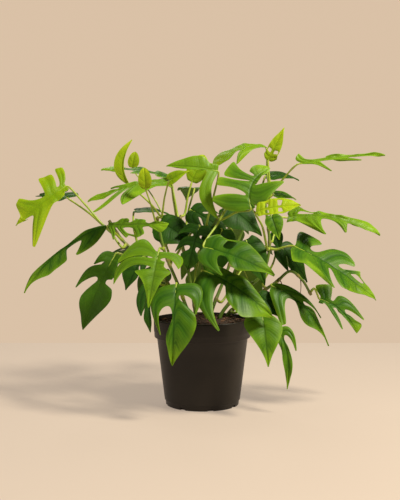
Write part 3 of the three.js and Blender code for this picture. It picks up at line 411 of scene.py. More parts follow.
def routePoint(route, share):
    wanted = min(max(share, 0.0), 1.0) * route["length"]
    points, runs = route["points"], route["runs"]
    for i, (low, high) in enumerate(zip(runs, runs[1:])):
        if wanted <= high:
            return points[i].lerp(points[i + 1], (wanted - low) / max(high - low, 1e-9))
    return points[-1].copy()


def routeDirection(route, share):
    reach = routeFine["direction"]
    return (routePoint(route, share + reach) - routePoint(route, share - reach)).normalized()


def floatLayer(bm, name):
    return bm.verts.layers.float.get(name) or bm.verts.layers.float.new(name)


def rollTube(bm, route, radiusAt, sides, steps, materialIndex=0, ringAt=None, tone=0.0):
    # a flat grid rolled up round the route, seamed and capped
    ring, toneLayer = floatLayer(bm, "ring"), floatLayer(bm, "tone")
    made = bmesh.ops.create_grid(bm, x_segments=sides, y_segments=steps, size=0.5)["verts"]
    directions = [routeDirection(route, i / steps) for i in range(steps + 1)]
    normals = [directions[0].orthogonal().normalized()]
    for last, now in zip(directions, directions[1:]):
        normals.append((last.rotation_difference(now) @ normals[-1]).normalized())
    for vert in made:
        step = round((vert.co.y + 0.5) * steps)
        share = step / steps
        arm = Quaternion(directions[step], (vert.co.x + 0.5) * fullTurn) @ normals[step]
        vert.co = (routePoint(route, share) + arm * radiusAt(share)) * mm
        vert[ring] = ringAt(share) if ringAt else 0.0
        vert[toneLayer] = tone
    faces = set(face for vert in made for face in vert.link_faces)
    bmesh.ops.remove_doubles(bm, verts=made, dist=1e-7)
    faces = [face for face in faces if face.is_valid]
    openEdges = list({edge for face in faces for edge in face.edges if edge.is_boundary})
    caps = bmesh.ops.holes_fill(bm, edges=openEdges, sides=0)["faces"]
    for face in faces + caps:
        face.material_index = materialIndex
    bmesh.ops.recalc_face_normals(bm, faces=faces + caps)


def spinProfile(profile, segments):
    # a closed shell turned about the middle from (radius, height) points in mm
    bm = bmesh.new()
    verts = [bm.verts.new((radius * mm, 0, height * mm)) for radius, height in profile]
    edges = [bm.edges.new(pair) for pair in zip(verts, verts[1:])]
    bmesh.ops.spin(bm, geom=verts + edges, cent=(0, 0, 0), axis=(0, 0, 1), angle=fullTurn,
                   steps=segments, use_merge=True, use_duplicate=False)
    bmesh.ops.remove_doubles(bm, verts=bm.verts, dist=1e-6)
    bmesh.ops.recalc_face_normals(bm, faces=bm.faces)
    return bm


def applyModifiers(piece):
    bpy.context.view_layer.update()
    graph, old = bpy.context.evaluated_depsgraph_get(), piece.data
    made = bpy.data.meshes.new_from_object(piece.evaluated_get(graph))
    piece.modifiers.clear()
    piece.data = made
    made.set_sharp_from_angle(angle=sharpAngle)
    bpy.data.meshes.remove(old)


# the nursery pot

potSize = {
    "rim": 82.5, "height": 146, "lip": 31, "lipStep": 5.5, "band": 9.5, "foot": 62.5, "footStep": 9,
    "footRun": 1.5, "wall": 2.2, "floor": 3, "segments": 144,
    "notches": 8, "notchStart": 0.28, "notchSize": (14, 10, 4), "notchBevel": 0.9,
}
potFinish = {
    "pattern": {"Main": (0.009, 0.0066, 0.0045), "Second": (0.022, 0.017, 0.012), "Dull": 0.44,
                "PatchSize": 9.0, "SpeckSize": 1500.0, "Mottle": 0.6, "SpeckDepth": 0.7},
    "bump": (0.25, 0.0004), "shader": {"IOR": 1.5, "Specular IOR Level": 0.3},
}
lipFoot = potSize["height"] - potSize["lip"]


def wallRadius(height):
    top, foot = potSize["rim"] - potSize["lipStep"], potSize["foot"] + potSize["footRun"]
    return foot + (top - foot) * (height - potSize["footStep"]) / (lipFoot - potSize["footStep"])


def potProfile():
    # from the middle of the underside, up the outside, over the rim and down the inside
    rim, top, foot, step = (potSize[key] for key in ("rim", "height", "foot", "footStep"))
    wall, floor = potSize["wall"], potSize["floor"]
    inside, bandTop = rim - 2 * wall, lipFoot + potSize["band"]
    return [
        (0, 1.2), (foot - 12, 1.2), (foot - 10, 0), (foot - 2.2, 0), (foot - 1.1, 0.5),
        (foot - 0.7, 1.6), (foot - 0.1, step - 1.2), (foot + 0.4, step - 0.4),
        (wallRadius(step), step + 0.3),
        (wallRadius(30), 30), (wallRadius(60), 60), (wallRadius(90), 90),
        (wallRadius(lipFoot - 1.6), lipFoot - 1.6), (wallRadius(lipFoot) + 0.5, lipFoot - 0.5),
        (rim - 2.2, lipFoot), (rim - 1.5, lipFoot + 0.5), (rim - 1.3, lipFoot + 1.4),
        (rim - 0.95, bandTop - 0.6), (rim - 0.6, bandTop + 0.2), (rim - 0.45, bandTop + 1.2),
        (rim - 0.1, top - 2.0), (rim - 0.1, top - 0.8), (rim - 0.8, top),
        (inside + 1.4, top), (inside + 0.5, top - 0.5), (inside, top - 1.6),
        (wallRadius(lipFoot) - wall, lipFoot - 3), (wallRadius(60) - wall, 60),
        (foot - wall, floor + 1), (foot - wall - 1.5, floor), (0, floor),
    ]


def bevelEdges(bm, verts, width, segments):
    edges = list({edge for vert in verts for edge in vert.link_edges})
    return bmesh.ops.bevel(bm, geom=edges, offset=width * mm, segments=segments, profile=0.5,
                           affect="EDGES", material=-1)["verts"]


def makeNotchCutter():
    cutters = bmesh.new()
    depth, width, height = (value * mm for value in potSize["notchSize"])
    size = Matrix.Diagonal((depth, width, height * 2, 1))
    place = Matrix.Translation(((potSize["foot"] + 1) * mm, 0, 0))
    count = potSize["notches"]
    for i in range(count):
        turn = Matrix.Rotation((i + potSize["notchStart"]) * fullTurn / count, 4, "Z")
        made = bmesh.ops.create_cube(cutters, size=1, matrix=turn @ place @ size)["verts"]
        bevelEdges(cutters, made, potSize["notchBevel"], 2)
    return makeObject("notchCutter", cutters, [])


def makePot():
    material = patternMaterial("potPlastic", surfacePattern, potFinish)
    pot = makeObject("nurseryPot", spinProfile(potProfile(), potSize["segments"]), [material])
    cutter = makeNotchCutter()
    cut = pot.modifiers.new("notches", "BOOLEAN")
    cut.object, cut.operation, cut.solver = cutter, "DIFFERENCE", "EXACT"
    applyModifiers(pot)
    bpy.data.objects.remove(cutter)
    finishPiece(pot, "pot")


makePot()
print("pot turned")

# peat and bark

soilSize = {
    "edge": 137, "crown": 148, "wallGap": 0.8, "rimGap": 1.2, "segments": 96, "rings": 30,
    "lumps": 2.2, "lumpWaves": (7, 0.9, 4, 0.35), "calmEdge": (1.05, 4),
    "crumbs": ((260, 2.2), (700, 1.1)),  # noise scale and height of the crumbs
}
peatFinish = {
    "pattern": {"Main": (0.017, 0.009, 0.006), "Second": (0.06, 0.03, 0.016), "Dull": 0.9,
                "PatchSize": 160.0, "SpeckSize": 900.0, "Mottle": 0.9, "SpeckDepth": 1.0},
    "bump": (0.9, 0.002), "shader": {},
}
barkSize = {
    "chips": 300, "fromRim": 8, "turn": 2.39996, "stray": (-0.2, 0.2), "length": (2.6, 7.5),
    "width": (0.45, 0.8), "thickness": (0.22, 0.42), "lift": 0.12, "upright": 0.2,
    "tilt": (-0.7, 0.7), "spin": (0, 6.28), "bevel": 0.12, "rough": 0.16, "roughScale": 240,
}
barkFinish = {
    "pattern": {"Main": (0.035, 0.016, 0.009), "Second": (0.085, 0.04, 0.02), "Dull": 0.85,
                "Ring": (0.2, 0.1, 0.05), "PatchSize": 300.0, "SpeckSize": 1200.0,
                "Mottle": 0.9, "SpeckDepth": 1.0},
    "bump": (0.8, 0.001), "shader": {},
}


def soilHeight(radius, angle):
    share = radius / potSize["rim"]
    mound = soilSize["edge"] + (soilSize["crown"] - soilSize["edge"]) * (1 - share * share)
    turns, run, crossTurns, crossRun = soilSize["lumpWaves"]
    lump = math.sin(angle * turns + radius * run) * math.cos(angle * crossTurns - radius * crossRun)
    end, pace = soilSize["calmEdge"]
    return mound + soilSize["lumps"] * lump * min(1, (end - share) * pace)


def makeSoil():
    wall, bottom, gap = potSize["wall"], potSize["floor"] + 0.3, soilSize["wallGap"]
    edge, rings = potSize["rim"] - 2 * wall - soilSize["rimGap"], soilSize["rings"]
    profile = [(0, bottom), (potSize["foot"] - wall - gap, bottom),
               (wallRadius(lipFoot) - wall - gap, lipFoot - 3), (edge, soilSize["edge"] - 1.5)]
    profile += [(edge * (1 - i / rings), soilSize["edge"]) for i in range(rings + 1)]
    bm = spinProfile(profile, soilSize["segments"])
    for vert in bm.verts:
        if vert.co.z > (soilSize["edge"] - 0.5) * mm:
            height = soilHeight(vert.co.xy.length / mm, math.atan2(vert.co.y, vert.co.x))
            crumb = sum(noise.noise(vert.co * scale) * size for scale, size in soilSize["crumbs"])
            vert.co.z = (height + crumb) * mm
    peat = patternMaterial("peat", surfacePattern, peatFinish)
    finishPiece(makeObject("peatMound", bm, [peat]), "soil")


def makeBark():
    bm = bmesh.new()
    ring = floatLayer(bm, "ring")
    count = barkSize["chips"]
    for i in range(count):
        radius = (potSize["rim"] - barkSize["fromRim"]) * math.sqrt((i + 0.5) / count)
        angle = i * barkSize["turn"] + chance.uniform(*barkSize["stray"])
        size = chance.uniform(*barkSize["length"])
        height = soilHeight(radius, angle) + size * barkSize["lift"]
        where = Vector((radius * math.cos(angle), radius * math.sin(angle), height))
        lean = Vector((chance.uniform(-1, 1), chance.uniform(-1, 1), barkSize["upright"]))
        tilt = Quaternion(lean.normalized(), chance.uniform(*barkSize["tilt"]))
        spin = Quaternion((0, 0, 1), chance.uniform(*barkSize["spin"]))
        width = chance.uniform(*barkSize["width"])
        thickness = chance.uniform(*barkSize["thickness"])
        shape = Matrix.Diagonal((size, size * width, size * thickness, 1))
        place = Matrix.Translation(where) @ (tilt @ spin).to_matrix().to_4x4() @ shape
        chip = bmesh.ops.create_cube(bm, size=1.0, matrix=Matrix.Scale(mm, 4) @ place)["verts"]
        warm = chance.random() ** 2
        for vert in bevelEdges(bm, chip, size * barkSize["bevel"], 1):
            rough = Vector(noise.noise_vector(vert.co * barkSize["roughScale"]))
            vert.co += rough * size * barkSize["rough"] * mm
            vert[ring] = warm
    bark = patternMaterial("barkChips", surfacePattern, barkFinish)
    finishPiece(makeObject("barkMulch", bm, [bark], False))


makeSoil()
makeBark()
print("peat and bark filled")

# climbing stems

stemSize = {
    "rootDepth": 34, "rootRise": 22, "baseRadius": 3.3, "tipRadius": 2.1, "sides": 14,
    "stepLength": 3.0, "knot": 0.8, "knotReach": 3.2, "bareKnots": [0.24, 0.99],
}
rootSize = {"radius": 1.1, "taper": 0.55, "drop": (16, 22), "sides": 8, "steps": 12,
            "bend": ((0, 0, 0), (4, 3.4, 0.12), (6, 5.6, 0.55), (5, 5, 1))}  # mm, mm, share of drop
stemRoutes = {
    "left": [(-34, -6, 150), (-58, -8, 205), (-96, -12, 250), (-129, -15, 274), (-156, -16, 312)],
    "mid_left": [(-22, -26, 150), (-40, -36, 205), (-62, -48, 262), (-74, -54, 318)],
    "back": [(-12, 26, 150), (-22, 34, 210), (-34, 30, 270), (-38, 20, 318)],
    "centre": [(6, -14, 150), (2, -24, 200), (2, -34, 250), (16, -26, 300), (40, -30, 336)],
    "right": [(30, -8, 150), (62, -8, 190), (98, -6, 218), (112, -10, 262), (108, -12, 316),
              (104, -8, 350)],
    "low_right": [(44, 22, 150), (84, 14, 178), (124, 4, 206), (148, -4, 226), (168, 4, 212),
                  (186, 18, 184)],
    "rear_right": [(16, 42, 150), (40, 66, 210), (66, 72, 280), (96, 56, 350)],
}
stemRoots = {"left": [0.45], "mid_left": [0.4], "back": [0.35, 0.6], "centre": [0.5],
             "right": [0.3, 0.5], "low_right": [0.42, 0.62, 0.8], "rear_right": [0.4]}


def stemRadius(share):
    return stemSize["baseRadius"] + (stemSize["tipRadius"] - stemSize["baseRadius"]) * share


def makeStem(name, knots):
    x, y, _ = stemRoutes[name][0]
    bottom = soilSize["crown"] - stemSize["rootDepth"]
    points = [(x, y, bottom), (x, y, bottom + stemSize["rootRise"])] + stemRoutes[name]
    route = makeRoute([Vector(point) for point in points])
    knots = sorted(knots + stemRoots[name] + stemSize["bareKnots"])

    def nearKnot(share):
        gap = min(abs(share - knot) for knot in knots) * route["length"]
        return math.exp(-(gap / stemSize["knotReach"]) ** 2)

    bm = bmesh.new()
    rollTube(bm, route, lambda share: stemRadius(share) + stemSize["knot"] * nearKnot(share),
             stemSize["sides"], round(route["length"] / stemSize["stepLength"]), 0, nearKnot)
    for share in stemRoots[name]:
        start, (least, more) = routePoint(route, share), rootSize["drop"]
        drop = least + more * share  # roots higher up hang longer
        bend = [start + Vector((x, y, -z * drop)) for x, y, z in rootSize["bend"]]
        rollTube(bm, makeRoute(bend),
                 lambda along: rootSize["radius"] * (1 - rootSize["taper"] * along),
                 rootSize["sides"], rootSize["steps"], 1)
    piece = makeObject("stem_" + name, bm, [vineMaterial, rootMaterial])
    finishPiece(piece, "vine_" + name)
    return route


# leaf plans, in hundredths of the leaf's length, out from the midrib and up from the base

def lobe(low, high, near, tip, far, end=0.6, cut="open"):
    # a finger of the blade, rooted from low to high, whose two edges pass near and far half way
    # to a tip of its own half width
    points = {"root": (low, high), "near": near, "tip": tip, "far": far}
    shares = {key: [value / 100 for value in pair] for key, pair in points.items()}
    return {**shares, "end": end / 100, "cut": cut}


def strip(low, high, width, cut="none"):
    # a plain stretch of blade beside the midrib
    edge, middle = width * 0.8, (low + high) / 2
    return lobe(low, high, (edge, low), (width, middle), (edge, high), (high - low) / 2, cut)


def half(start, rim, *lobes):
    # lobes from the base up, then the one at the leaf's end, outlined from its shoulder to the tip
    rim = [(x / 100, y / 100) for x, y in rim] + [(0, 1)]
    return {"start": start / 100, "rim": rim, "lobes": lobes}


def sides(left, right=None):
    return {"left": left, "right": right or left}


leafPlans = {
    "entire": sides(half(0, [(16, -5), (31, 16), (25, 50), (9, 80)])),
    "young": sides(half(0, [(20, 2), (40, 28), (40, 62), (20, 92)])),
    "windowed": sides(
        half(34, [(28, 38), (24, 60), (8, 86)],
            lobe(0, 22, (17, 2), (28, 20), (20, 27), 6, "hole"))),
    "armed": sides(
        half(33, [(17, 46), (20, 60), (7, 86)], lobe(0, 26, (28, 10), (26, 56), (15, 37)))),
    "twoCut": sides(
        half(58, [(23, 70), (16, 83), (5, 94)], lobe(0, 24, (26, 0), (41, 28), (25, 23)),
            lobe(30, 50, (27, 37), (36, 66), (22, 54)))),
    "far_left": sides(
        half(86, [(7, 80), (4.5, 86), (2, 93)], strip(0, 10, 8), strip(13, 40, 13),
            lobe(45, 68, (22.5, 66), (42, 95.5), (20, 82), 2)),
        half(86, [(6, 85), (3.5, 89.3), (2, 95.3)],
            lobe(0, 10, (13.5, -9), (37.2, -13.5), (13.5, 3.3), 7),
            lobe(15, 38, (19, 8), (38.2, 14.3), (14, 34), 12),
            lobe(42, 80, (13, 57), (29, 74), (15, 80), 7, "none"))),
    "left_arch": sides(
        half(45, [(11, 51.5), (10, 63), (9, 74.5), (3, 87)],
            lobe(0, 27, (11.5, 17), (13.3, 40), (7, 32), 0.8)),
        half(45, [(1.2, 52), (1.5, 66), (3.7, 80), (6, 90)], strip(0, 27, 3.5))),
    "left_upright": sides(
        half(0, [(5, 2), (17, 34), (15, 66)]),
        half(0, [(3, 2), (3, 36), (3, 68)])),
    "left_ledge": sides(
        half(66, [(6, 76), (5, 84), (3, 92)], strip(0, 26, 10),
            lobe(42, 50, (15, 60), (25, 67.6), (12, 65), 0.8),
            lobe(52, 62, (15, 80), (18, 98.5), (11, 82), 0.8)),
        half(66, [(2.5, 76), (3, 84), (3, 92)], strip(0, 26, 4.5), strip(30, 46, 4),
            lobe(52, 62, (4.5, 60), (8, 72), (4, 67), 1))),
    "left_ledge_rear": sides(
        half(66, [(6, 74), (7, 83), (3, 93)], lobe(0, 24, (8, 4), (14, 22), (7, 25)),
            lobe(34, 56, (10, 40), (16, 60), (9, 57))),
        half(66, [(10, 70), (14, 80), (6, 92)], lobe(0, 24, (12, 4), (22, 20), (10, 24)),
            lobe(34, 56, (10, 38), (13, 49), (9, 56), 2))),
    "top_crescent": sides(
        half(27, [(5, 35), (6, 50), (5, 75)], lobe(0, 20, (41, 12), (72, -12), (50, 36), 2)),
        half(24, [(23, 28), (27, 44), (18, 68)], strip(0, 18, 13))),
    "top_arch": sides(
        half(52, [(3, 57), (7, 75), (2.5, 90)], strip(0, 30, 8),
            lobe(36, 48, (16.5, 55.1), (24.4, 71.4), (11.7, 59.2), 1)),
        half(52, [(18.5, 60), (23.6, 73.4), (21, 90)], strip(0, 28, 8), strip(32, 48, 13))),
    "top_broad": sides(
        half(70, [(19, 71), (20, 82), (11, 97)],
            lobe(0, 24, (31, 2.8), (63.3, 21.5), (30.3, 27.1), 3),
            lobe(28, 54, (24.6, 34.9), (59.3, 41.4), (29.6, 48.5), 6),
            lobe(56, 66, (30.8, 50.7), (55, 61.7), (31.4, 65.6), 12)),
        half(70, [(7, 70), (7.5, 80), (7, 91)], strip(0, 4, 8, "open"),
            lobe(8, 48, (33.5, 8.3), (47.7, 88.5), (25.6, 64.6), 1.5), strip(52, 64, 8))),
    "lime_windowed": sides(
        half(60, [(24, 66), (20, 78), (8, 92)], lobe(0, 22, (13, 3), (24, 14), (13, 24), 7, "hole"),
            lobe(30, 52, (15, 32), (27, 42), (15, 53), 7, "hole")),
        half(60, [(19, 64), (15, 78), (5, 92)], lobe(0, 22, (9, 3), (15, 13), (9, 23), 7, "hole"),
            lobe(30, 52, (11, 32), (20, 42), (11, 53), 7, "hole"))),
    "right_strap": sides(
        half(62, [(2.2, 66), (2.2, 80), (1.6, 92)], lobe(2, 20, (5, -2), (11, 2), (5, 10), 2.5),
            strip(34, 56, 3.5)),
        half(62, [(2.2, 66), (2.6, 80), (1.6, 92)], lobe(6, 26, (7, 20), (19, 36), (5, 27)),
            lobe(40, 56, (4.5, 48), (8, 72), (3, 60)))),
    "right_ledge": sides(
        half(68, [(8, 70), (10, 81), (8.5, 92)],
            lobe(0, 10, (7, -0.5), (11, 12.8), (5, 11.8), 5, "hole"),
            lobe(28, 37, (4, 32.1), (7.5, 30), (3.5, 37), 4, "none"), strip(44, 62, 4.5)),
        half(68, [(3, 76), (2.8, 85), (2, 93)], strip(0, 14, 8),
            lobe(17, 38, (13, 28), (23.7, 46.3), (14, 40.2), 1),
            lobe(46, 66, (7.5, 59), (13.2, 66.8), (5.8, 66.7), 1))),
    "right_broad": sides(
        half(80, [(9.5, 84.3), (5.8, 92.6)], lobe(0, 18, (28.6, -11), (21, 20.3), (10.2, 15.5), 4),
            lobe(26, 50, (30.8, 40.8), (19.8, 64.3), (12.9, 56.1), 4),
            lobe(58, 65, (7, 61), (11.5, 73.9), (7, 70), 3, "hole")),
        half(76, [(11.1, 82), (6.6, 91)], lobe(0, 20, (14, 5), (23, 20), (14, 22), 7, "none"),
            lobe(24, 44, (22, 43), (30, 58.5), (19, 50), 1),
            lobe(48, 66, (18.6, 58.4), (20.8, 67.8), (14, 72), 3, "none"))),
    "right_low": sides(
        half(60, [(7, 69), (10, 82), (16, 92)], lobe(0, 20, (16, -10), (34, -2), (18, 17), 14),
            lobe(28, 52, (28, 34), (24, 86), (14, 62), 1.2)),
        half(38, [(5, 46), (6, 65), (4, 85)], strip(0, 10, 9, "open"),
            lobe(14, 30, (19, 42), (26, 80), (13, 52), 1.2))),
    "right_apron": sides(
        half(47, [(5, 53), (4.5, 64), (3, 76), (2, 86)],
            lobe(0, 41, (11, 30), (8, 70), (6.5, 53), 0.8)),
        half(35, [(6, 42), (13, 54), (12, 69), (2.5, 83)],
            lobe(0, 24, (16, 6), (33, 42), (17, 28), 4))),
    "rim_glossy": sides(
        half(0, [(12, 0), (35, 25), (25, 55), (9, 82)]),
        half(0, [(22, -5), (36, 12), (26, 42), (9, 74)])),
    "rim_tail": sides(
        half(22, [(4, 34), (7, 60), (3, 82)], lobe(0, 14, (20, 8), (15, 42), (11, 20), 1)),
        half(22, [(6, 36), (9, 52), (5, 78)], lobe(0, 14, (6, 0), (9, 6), (9, 14), 5, "none"))),
    "front_centre": sides(
        half(30, [(14, 38), (17, 50), (13, 68), (5, 88)],
            lobe(0, 24, (10, 0), (14, 10), (10, 24), 11, "none")),
        half(36, [(20, 46), (25, 60), (28, 73), (9, 91)],
            lobe(0, 27, (36, 10), (51, 58), (34, 36), 1))),
    "front_left": sides(
        half(20, [(24, 36), (27, 48), (21, 68), (9, 86)],
            lobe(0, 14, (32, -2), (25, 37), (21, 19))),
        half(46, [(3.5, 52), (8.5, 67), (6, 80), (3, 91)],
            lobe(0, 28, (30, 16), (15, 65), (18, 38)))),
    "mid_left": sides(
        half(38, [(30, 36), (17, 50), (8, 76)], lobe(0, 15, (40, -5), (38, 26), (22, 12), 1),
            lobe(18, 33, (11, 20), (14, 26), (11, 32), 6, "none")),
        half(38, [(35, 42), (18, 58), (8, 78)], lobe(0, 14, (36, -34), (67, 8), (44, 10), 5),
            lobe(17, 33, (62, 12), (66, 56), (46, 30), 1))),
    "left_shelf": sides(
        half(72, [(3, 78), (3, 86), (3, 93)], strip(0, 16, 5.5),
            lobe(20, 38, (8.7, 19.4), (11.3, 29.8), (6.7, 40.4), 7),
            lobe(42, 66, (9.2, 48.2), (10.3, 55), (7, 66), 9)),
        half(72, [(8, 80), (12.7, 90), (7, 97.5)],
            lobe(2, 14, (10, 10.5), (21.9, 19.1), (10.9, 19.3), 1),
            lobe(20, 30, (9.6, 26.3), (17, 40.8), (9.8, 36), 3, "hole"),
            lobe(47, 62, (13, 54), (18.1, 62), (12, 67), 5))),
    "left_drop": sides(
        half(40, [(2, 55), (3, 70), (4, 85)], strip(0, 30, 9)),
        half(40, [(4, 45), (11, 75), (6, 88)], lobe(0, 30, (23, 34), (15, 70), (9, 54), 1))),
    "left_broad": sides(
        half(42, [(17, 45), (21, 57), (14, 76)], strip(0, 16, 10),
            lobe(20, 37, (10, 22), (14, 30), (10, 36), 5)),
        half(42, [(10, 54), (16, 68), (8, 86)], lobe(0, 16, (15, 4), (17, 24), (10, 18)),
            lobe(20, 37, (24, 32), (26, 57), (17, 43)))),
    "centre_broad": sides(
        half(37, [(29, 42), (25, 62), (10, 84)],
            lobe(0, 24, (16, -2), (26, 17), (20, 25), 8, "hole")),
        half(37, [(15, 45), (19, 58), (8, 82)], lobe(0, 26, (24, 5), (33, 44), (21, 31), 1))),
}

# leaf blades

bladeSize = {
    "thickness": 0.62, "lobeRows": 5, "rimSteps": 2, "tipHalfWidth": 0.6, "columns": 4,
    "groove": 0.55, "pillow": 0.028, "pillowStart": 0.3, "pillowRise": 2, "pillowFall": 0.6,
    "ripple": 0.016, "waves": ((1, 1, 13), (0.6, 2.3, 29)),  # height, shift and count of each wave
    "slant": 1.5, "besideRib": 0.4, "rimRise": 3, "bend": 0.45, "courseSteps": 200,
    "smoothing": 2,
    "inner": (0, 0.3, 1),  # how far across the band beside the midrib its own points lie
}
plainLeaf = {"sway": 0, "fold": 12, "curl": 0.5, "droop": 0.35, "band": 0.06, "spread": (1, 1),
             "colour": "mature", "slim": 1, "tone": 0}


def leafOn(stem, share, base, tip, face, arch, **own):
    # its place up a stem, the blade's two ends, the way it faces and how high it arches;
    # its plan goes by the leaf's own name unless it is given another
    places = {"base": Vector(base), "tip": Vector(tip), "face": Vector(face)}
    return {**plainLeaf, "stem": stem, "share": share, "arch": arch, **places, **own}


def lerp(a, b, share):
    return a + (b - a) * share


def curvePoint(start, bend, end, t):
    return start * (1 - t) ** 2 + bend * 2 * t * (1 - t) + end * t ** 2


def lobePoint(lobe, across, out, band):
    root, tip = Vector((band, lerp(*lobe["root"], across))), Vector(lobe["tip"])
    reach = tip - Vector((band, sum(lobe["root"]) / 2))
    tip += Vector((-reach.y, reach.x)).normalized() * (across - 0.5) * 2 * lobe["end"]
    passed = Vector(lobe["near"]).lerp(Vector(lobe["far"]), across)
    return curvePoint(root, 2 * passed - (root + tip) / 2, tip, out)


def rimPoint(side, share, out, band, length):
    points = [Vector(point) for point in side["rim"]]
    rim = splinePoint(points, share * (len(points) - 1))
    rim.x = max(rim.x, bladeSize["tipHalfWidth"] / length)
    rib = lerp(side["start"], 1, share ** bladeSize["slant"])  # side veins run out towards the tip
    return Vector((min(band, rim.x * bladeSize["besideRib"]), rib)).lerp(rim, out)


def halfPoint(side, row, out, band, length):
    if "across" in row:
        return lobePoint(side["lobes"][row["index"]], row["across"], out, band)
    return rimPoint(side, row["share"], out, band, length)


def bladeRows(plan):
    count = len(plan["left"]["lobes"])
    steps = (len(plan["left"]["rim"]) - 1) * bladeSize["rimSteps"]
    rows = []
    for index in range(count):
        for i in range(bladeSize["lobeRows"]):
            across = i / (bladeSize["lobeRows"] - 1)
            swell = abs(math.sin(fullTurn * across))  # up on both sides of the lobe's own vein
            rows.append({"index": index, "across": across, "run": index + across, "swell": swell})
    for i in range(steps + 1):
        run = count + 0.5 + i / 2
        rows.append({"index": count, "share": i / steps, "run": run, "swell": i % 2})
    return rows


def bladeCourse(leaf):
    # the midrib's curve, its length and the blade's sideways direction
    base, tip = leaf["base"], leaf["tip"]
    chord = (tip - base).normalized()
    side = chord.cross(leaf["face"]).normalized()
    rise = side.cross(chord)
    middle = base.lerp(tip, bladeSize["bend"]) + rise * 2 * leaf["arch"] + side * 2 * leaf["sway"]
    steps = bladeSize["courseSteps"]
    points = [curvePoint(base, middle, tip, i / steps) for i in range(steps + 1)]
    length = sum((b - a).length for a, b in zip(points, points[1:]))
    return {"corners": [base, middle, tip], "side": side, "length": length}


def bladeFrame(course, share):
    base, middle, tip = course["corners"]
    point = curvePoint(base, middle, tip, share)
    tangent = ((middle - base) * (1 - share) + (tip - middle) * share).normalized()
    across = (course["side"] - tangent * course["side"].dot(tangent)).normalized()
    return point, across, across.cross(tangent)


def bladePoint(course, leaf, x, y, extra=0.0):
    length = course["length"]
    point, across, up = bladeFrame(course, y / length)
    spread = abs(x) / length
    lift = abs(x) * (math.tan(math.radians(leaf["fold"])) - leaf["curl"] * spread)
    point = point + across * x + up * (lift + extra)
    point.z -= leaf["droop"] * spread * abs(x)
    return point


def cutFaces(bm, plan, rows, side):
    # the faces between one lobe and the next, as far in as their cut or window reaches
    gone = []
    for face in bm.faces:
        middle = face.calc_center_median()
        cell = math.floor((middle.y + 0.5) * (len(rows) - 1))
        column = math.floor((middle.x + 0.5) * 2 * side) - side
        fromBand = (column if column >= 0 else -column - 1) - 1
        if rows[cell]["index"] != rows[cell + 1]["index"] and fromBand > 0:
            shape = plan["left" if column < 0 else "right"]
            kind = shape["lobes"][rows[cell]["index"]]["cut"]
            if kind == "open" or (kind == "hole" and fromBand < bladeSize["columns"]):
                gone.append(face)
    return gone


def makeBlade(name, leaf, course):
    # a grid laid along the midrib, its cuts and windows taken out, then smoothed and thickened
    plan, length, band = leafPlans[leaf.get("plan", name)], course["length"], leaf["band"]
    rows, side = bladeRows(plan), bladeSize["columns"] + 2
    bm = bmesh.new()
    layers = [bm.verts.layers.float.new(key) for key in bladeLayers]
    bmesh.ops.create_grid(bm, x_segments=2 * side, y_segments=len(rows) - 1, size=0.5)
    gone = cutFaces(bm, plan, rows, side)
    phase = chance.uniform(0, 6.28)
    for vert in bm.verts:
        row = rows[round((vert.co.y + 0.5) * (len(rows) - 1))]
        column = round((vert.co.x + 0.5) * 2 * side) - side
        sign = -1 if column < 0 else 1
        out = max(0, abs(column) - 2) / bladeSize["columns"]
        own, other = (plan[key] for key in (("left", "right") if sign < 0 else ("right", "left")))
        x, y = halfPoint(own, row, out, band, length)
        x *= leaf["spread"][0 if sign < 0 else 1]
        rise = min(1, bladeSize["pillowStart"] + out * bladeSize["pillowRise"])
        hump = row["swell"] * rise * (1 - bladeSize["pillowFall"] * out)
        rim = out
        if "across" in row:  # a lobe's two edges count as rim too, but not where it joins the rest
            rim = max(out, abs(2 * row["across"] - 1) * min(1, out * bladeSize["rimRise"]))
        inner = bladeSize["inner"][min(abs(column), 2)]
        shared = (y + halfPoint(other, row, 0, band, length).y) / 2
        x, y = x * inner * length, lerp(shared, y, inner) * length
        swell = sum(height * math.sin(shift * phase + count * y / length + sign)
                    for height, shift, count in bladeSize["waves"])
        wave = swell * bladeSize["ripple"] * length * rim ** 2
        groove = bladeSize["groove"] if column == 0 else 0
        extra = bladeSize["pillow"] * length * hump + wave - groove
        # each leaf's tone makes it lighter or darker: partly its own colour, partly painted light
        # and shade
        for layer, value in zip(layers, (rim, abs(x), row["run"], y / length, leaf["tone"])):
            vert[layer] = value
        vert.co = bladePoint(course, leaf, sign * x, y, extra) * mm
    bmesh.ops.delete(bm, geom=gone, context="FACES")
    piece = makeObject("blade_" + name, bm, leafMaterials[leaf["colour"]] + [stalkMaterial])
    smooth = piece.modifiers.new("smooth", "SUBSURF")
    smooth.levels = smooth.render_levels = bladeSize["smoothing"]
    thick = piece.modifiers.new("thickness", "SOLIDIFY")
    thick.thickness, thick.offset, thick.material_offset = bladeSize["thickness"] * mm, 0, 1
    applyModifiers(piece)
    return piece


# leaf stalks

stalkSize = {
    "stem": 2.2, "blade": 1.4, "sides": 10, "steps": 34, "axil": 8, "axilGap": 1.1, "sunk": 1.6,
    "bow": 0.06, "grooveShare": 0.6,
    "keel": ((-0.01, 0.5, 1), (0.06, 1.1, 1), (0.13, 1, 1), (0.3, 0.55, 0.3)),
    "keelTaper": (0.72, 1.1), "sheath": (0.5, 0.16), "sheathRing": (0.8, 0.12),
    "knee": (0.35, 5), "kneeRing": (0.5, 7), "kneeBefore": 0.05,
}


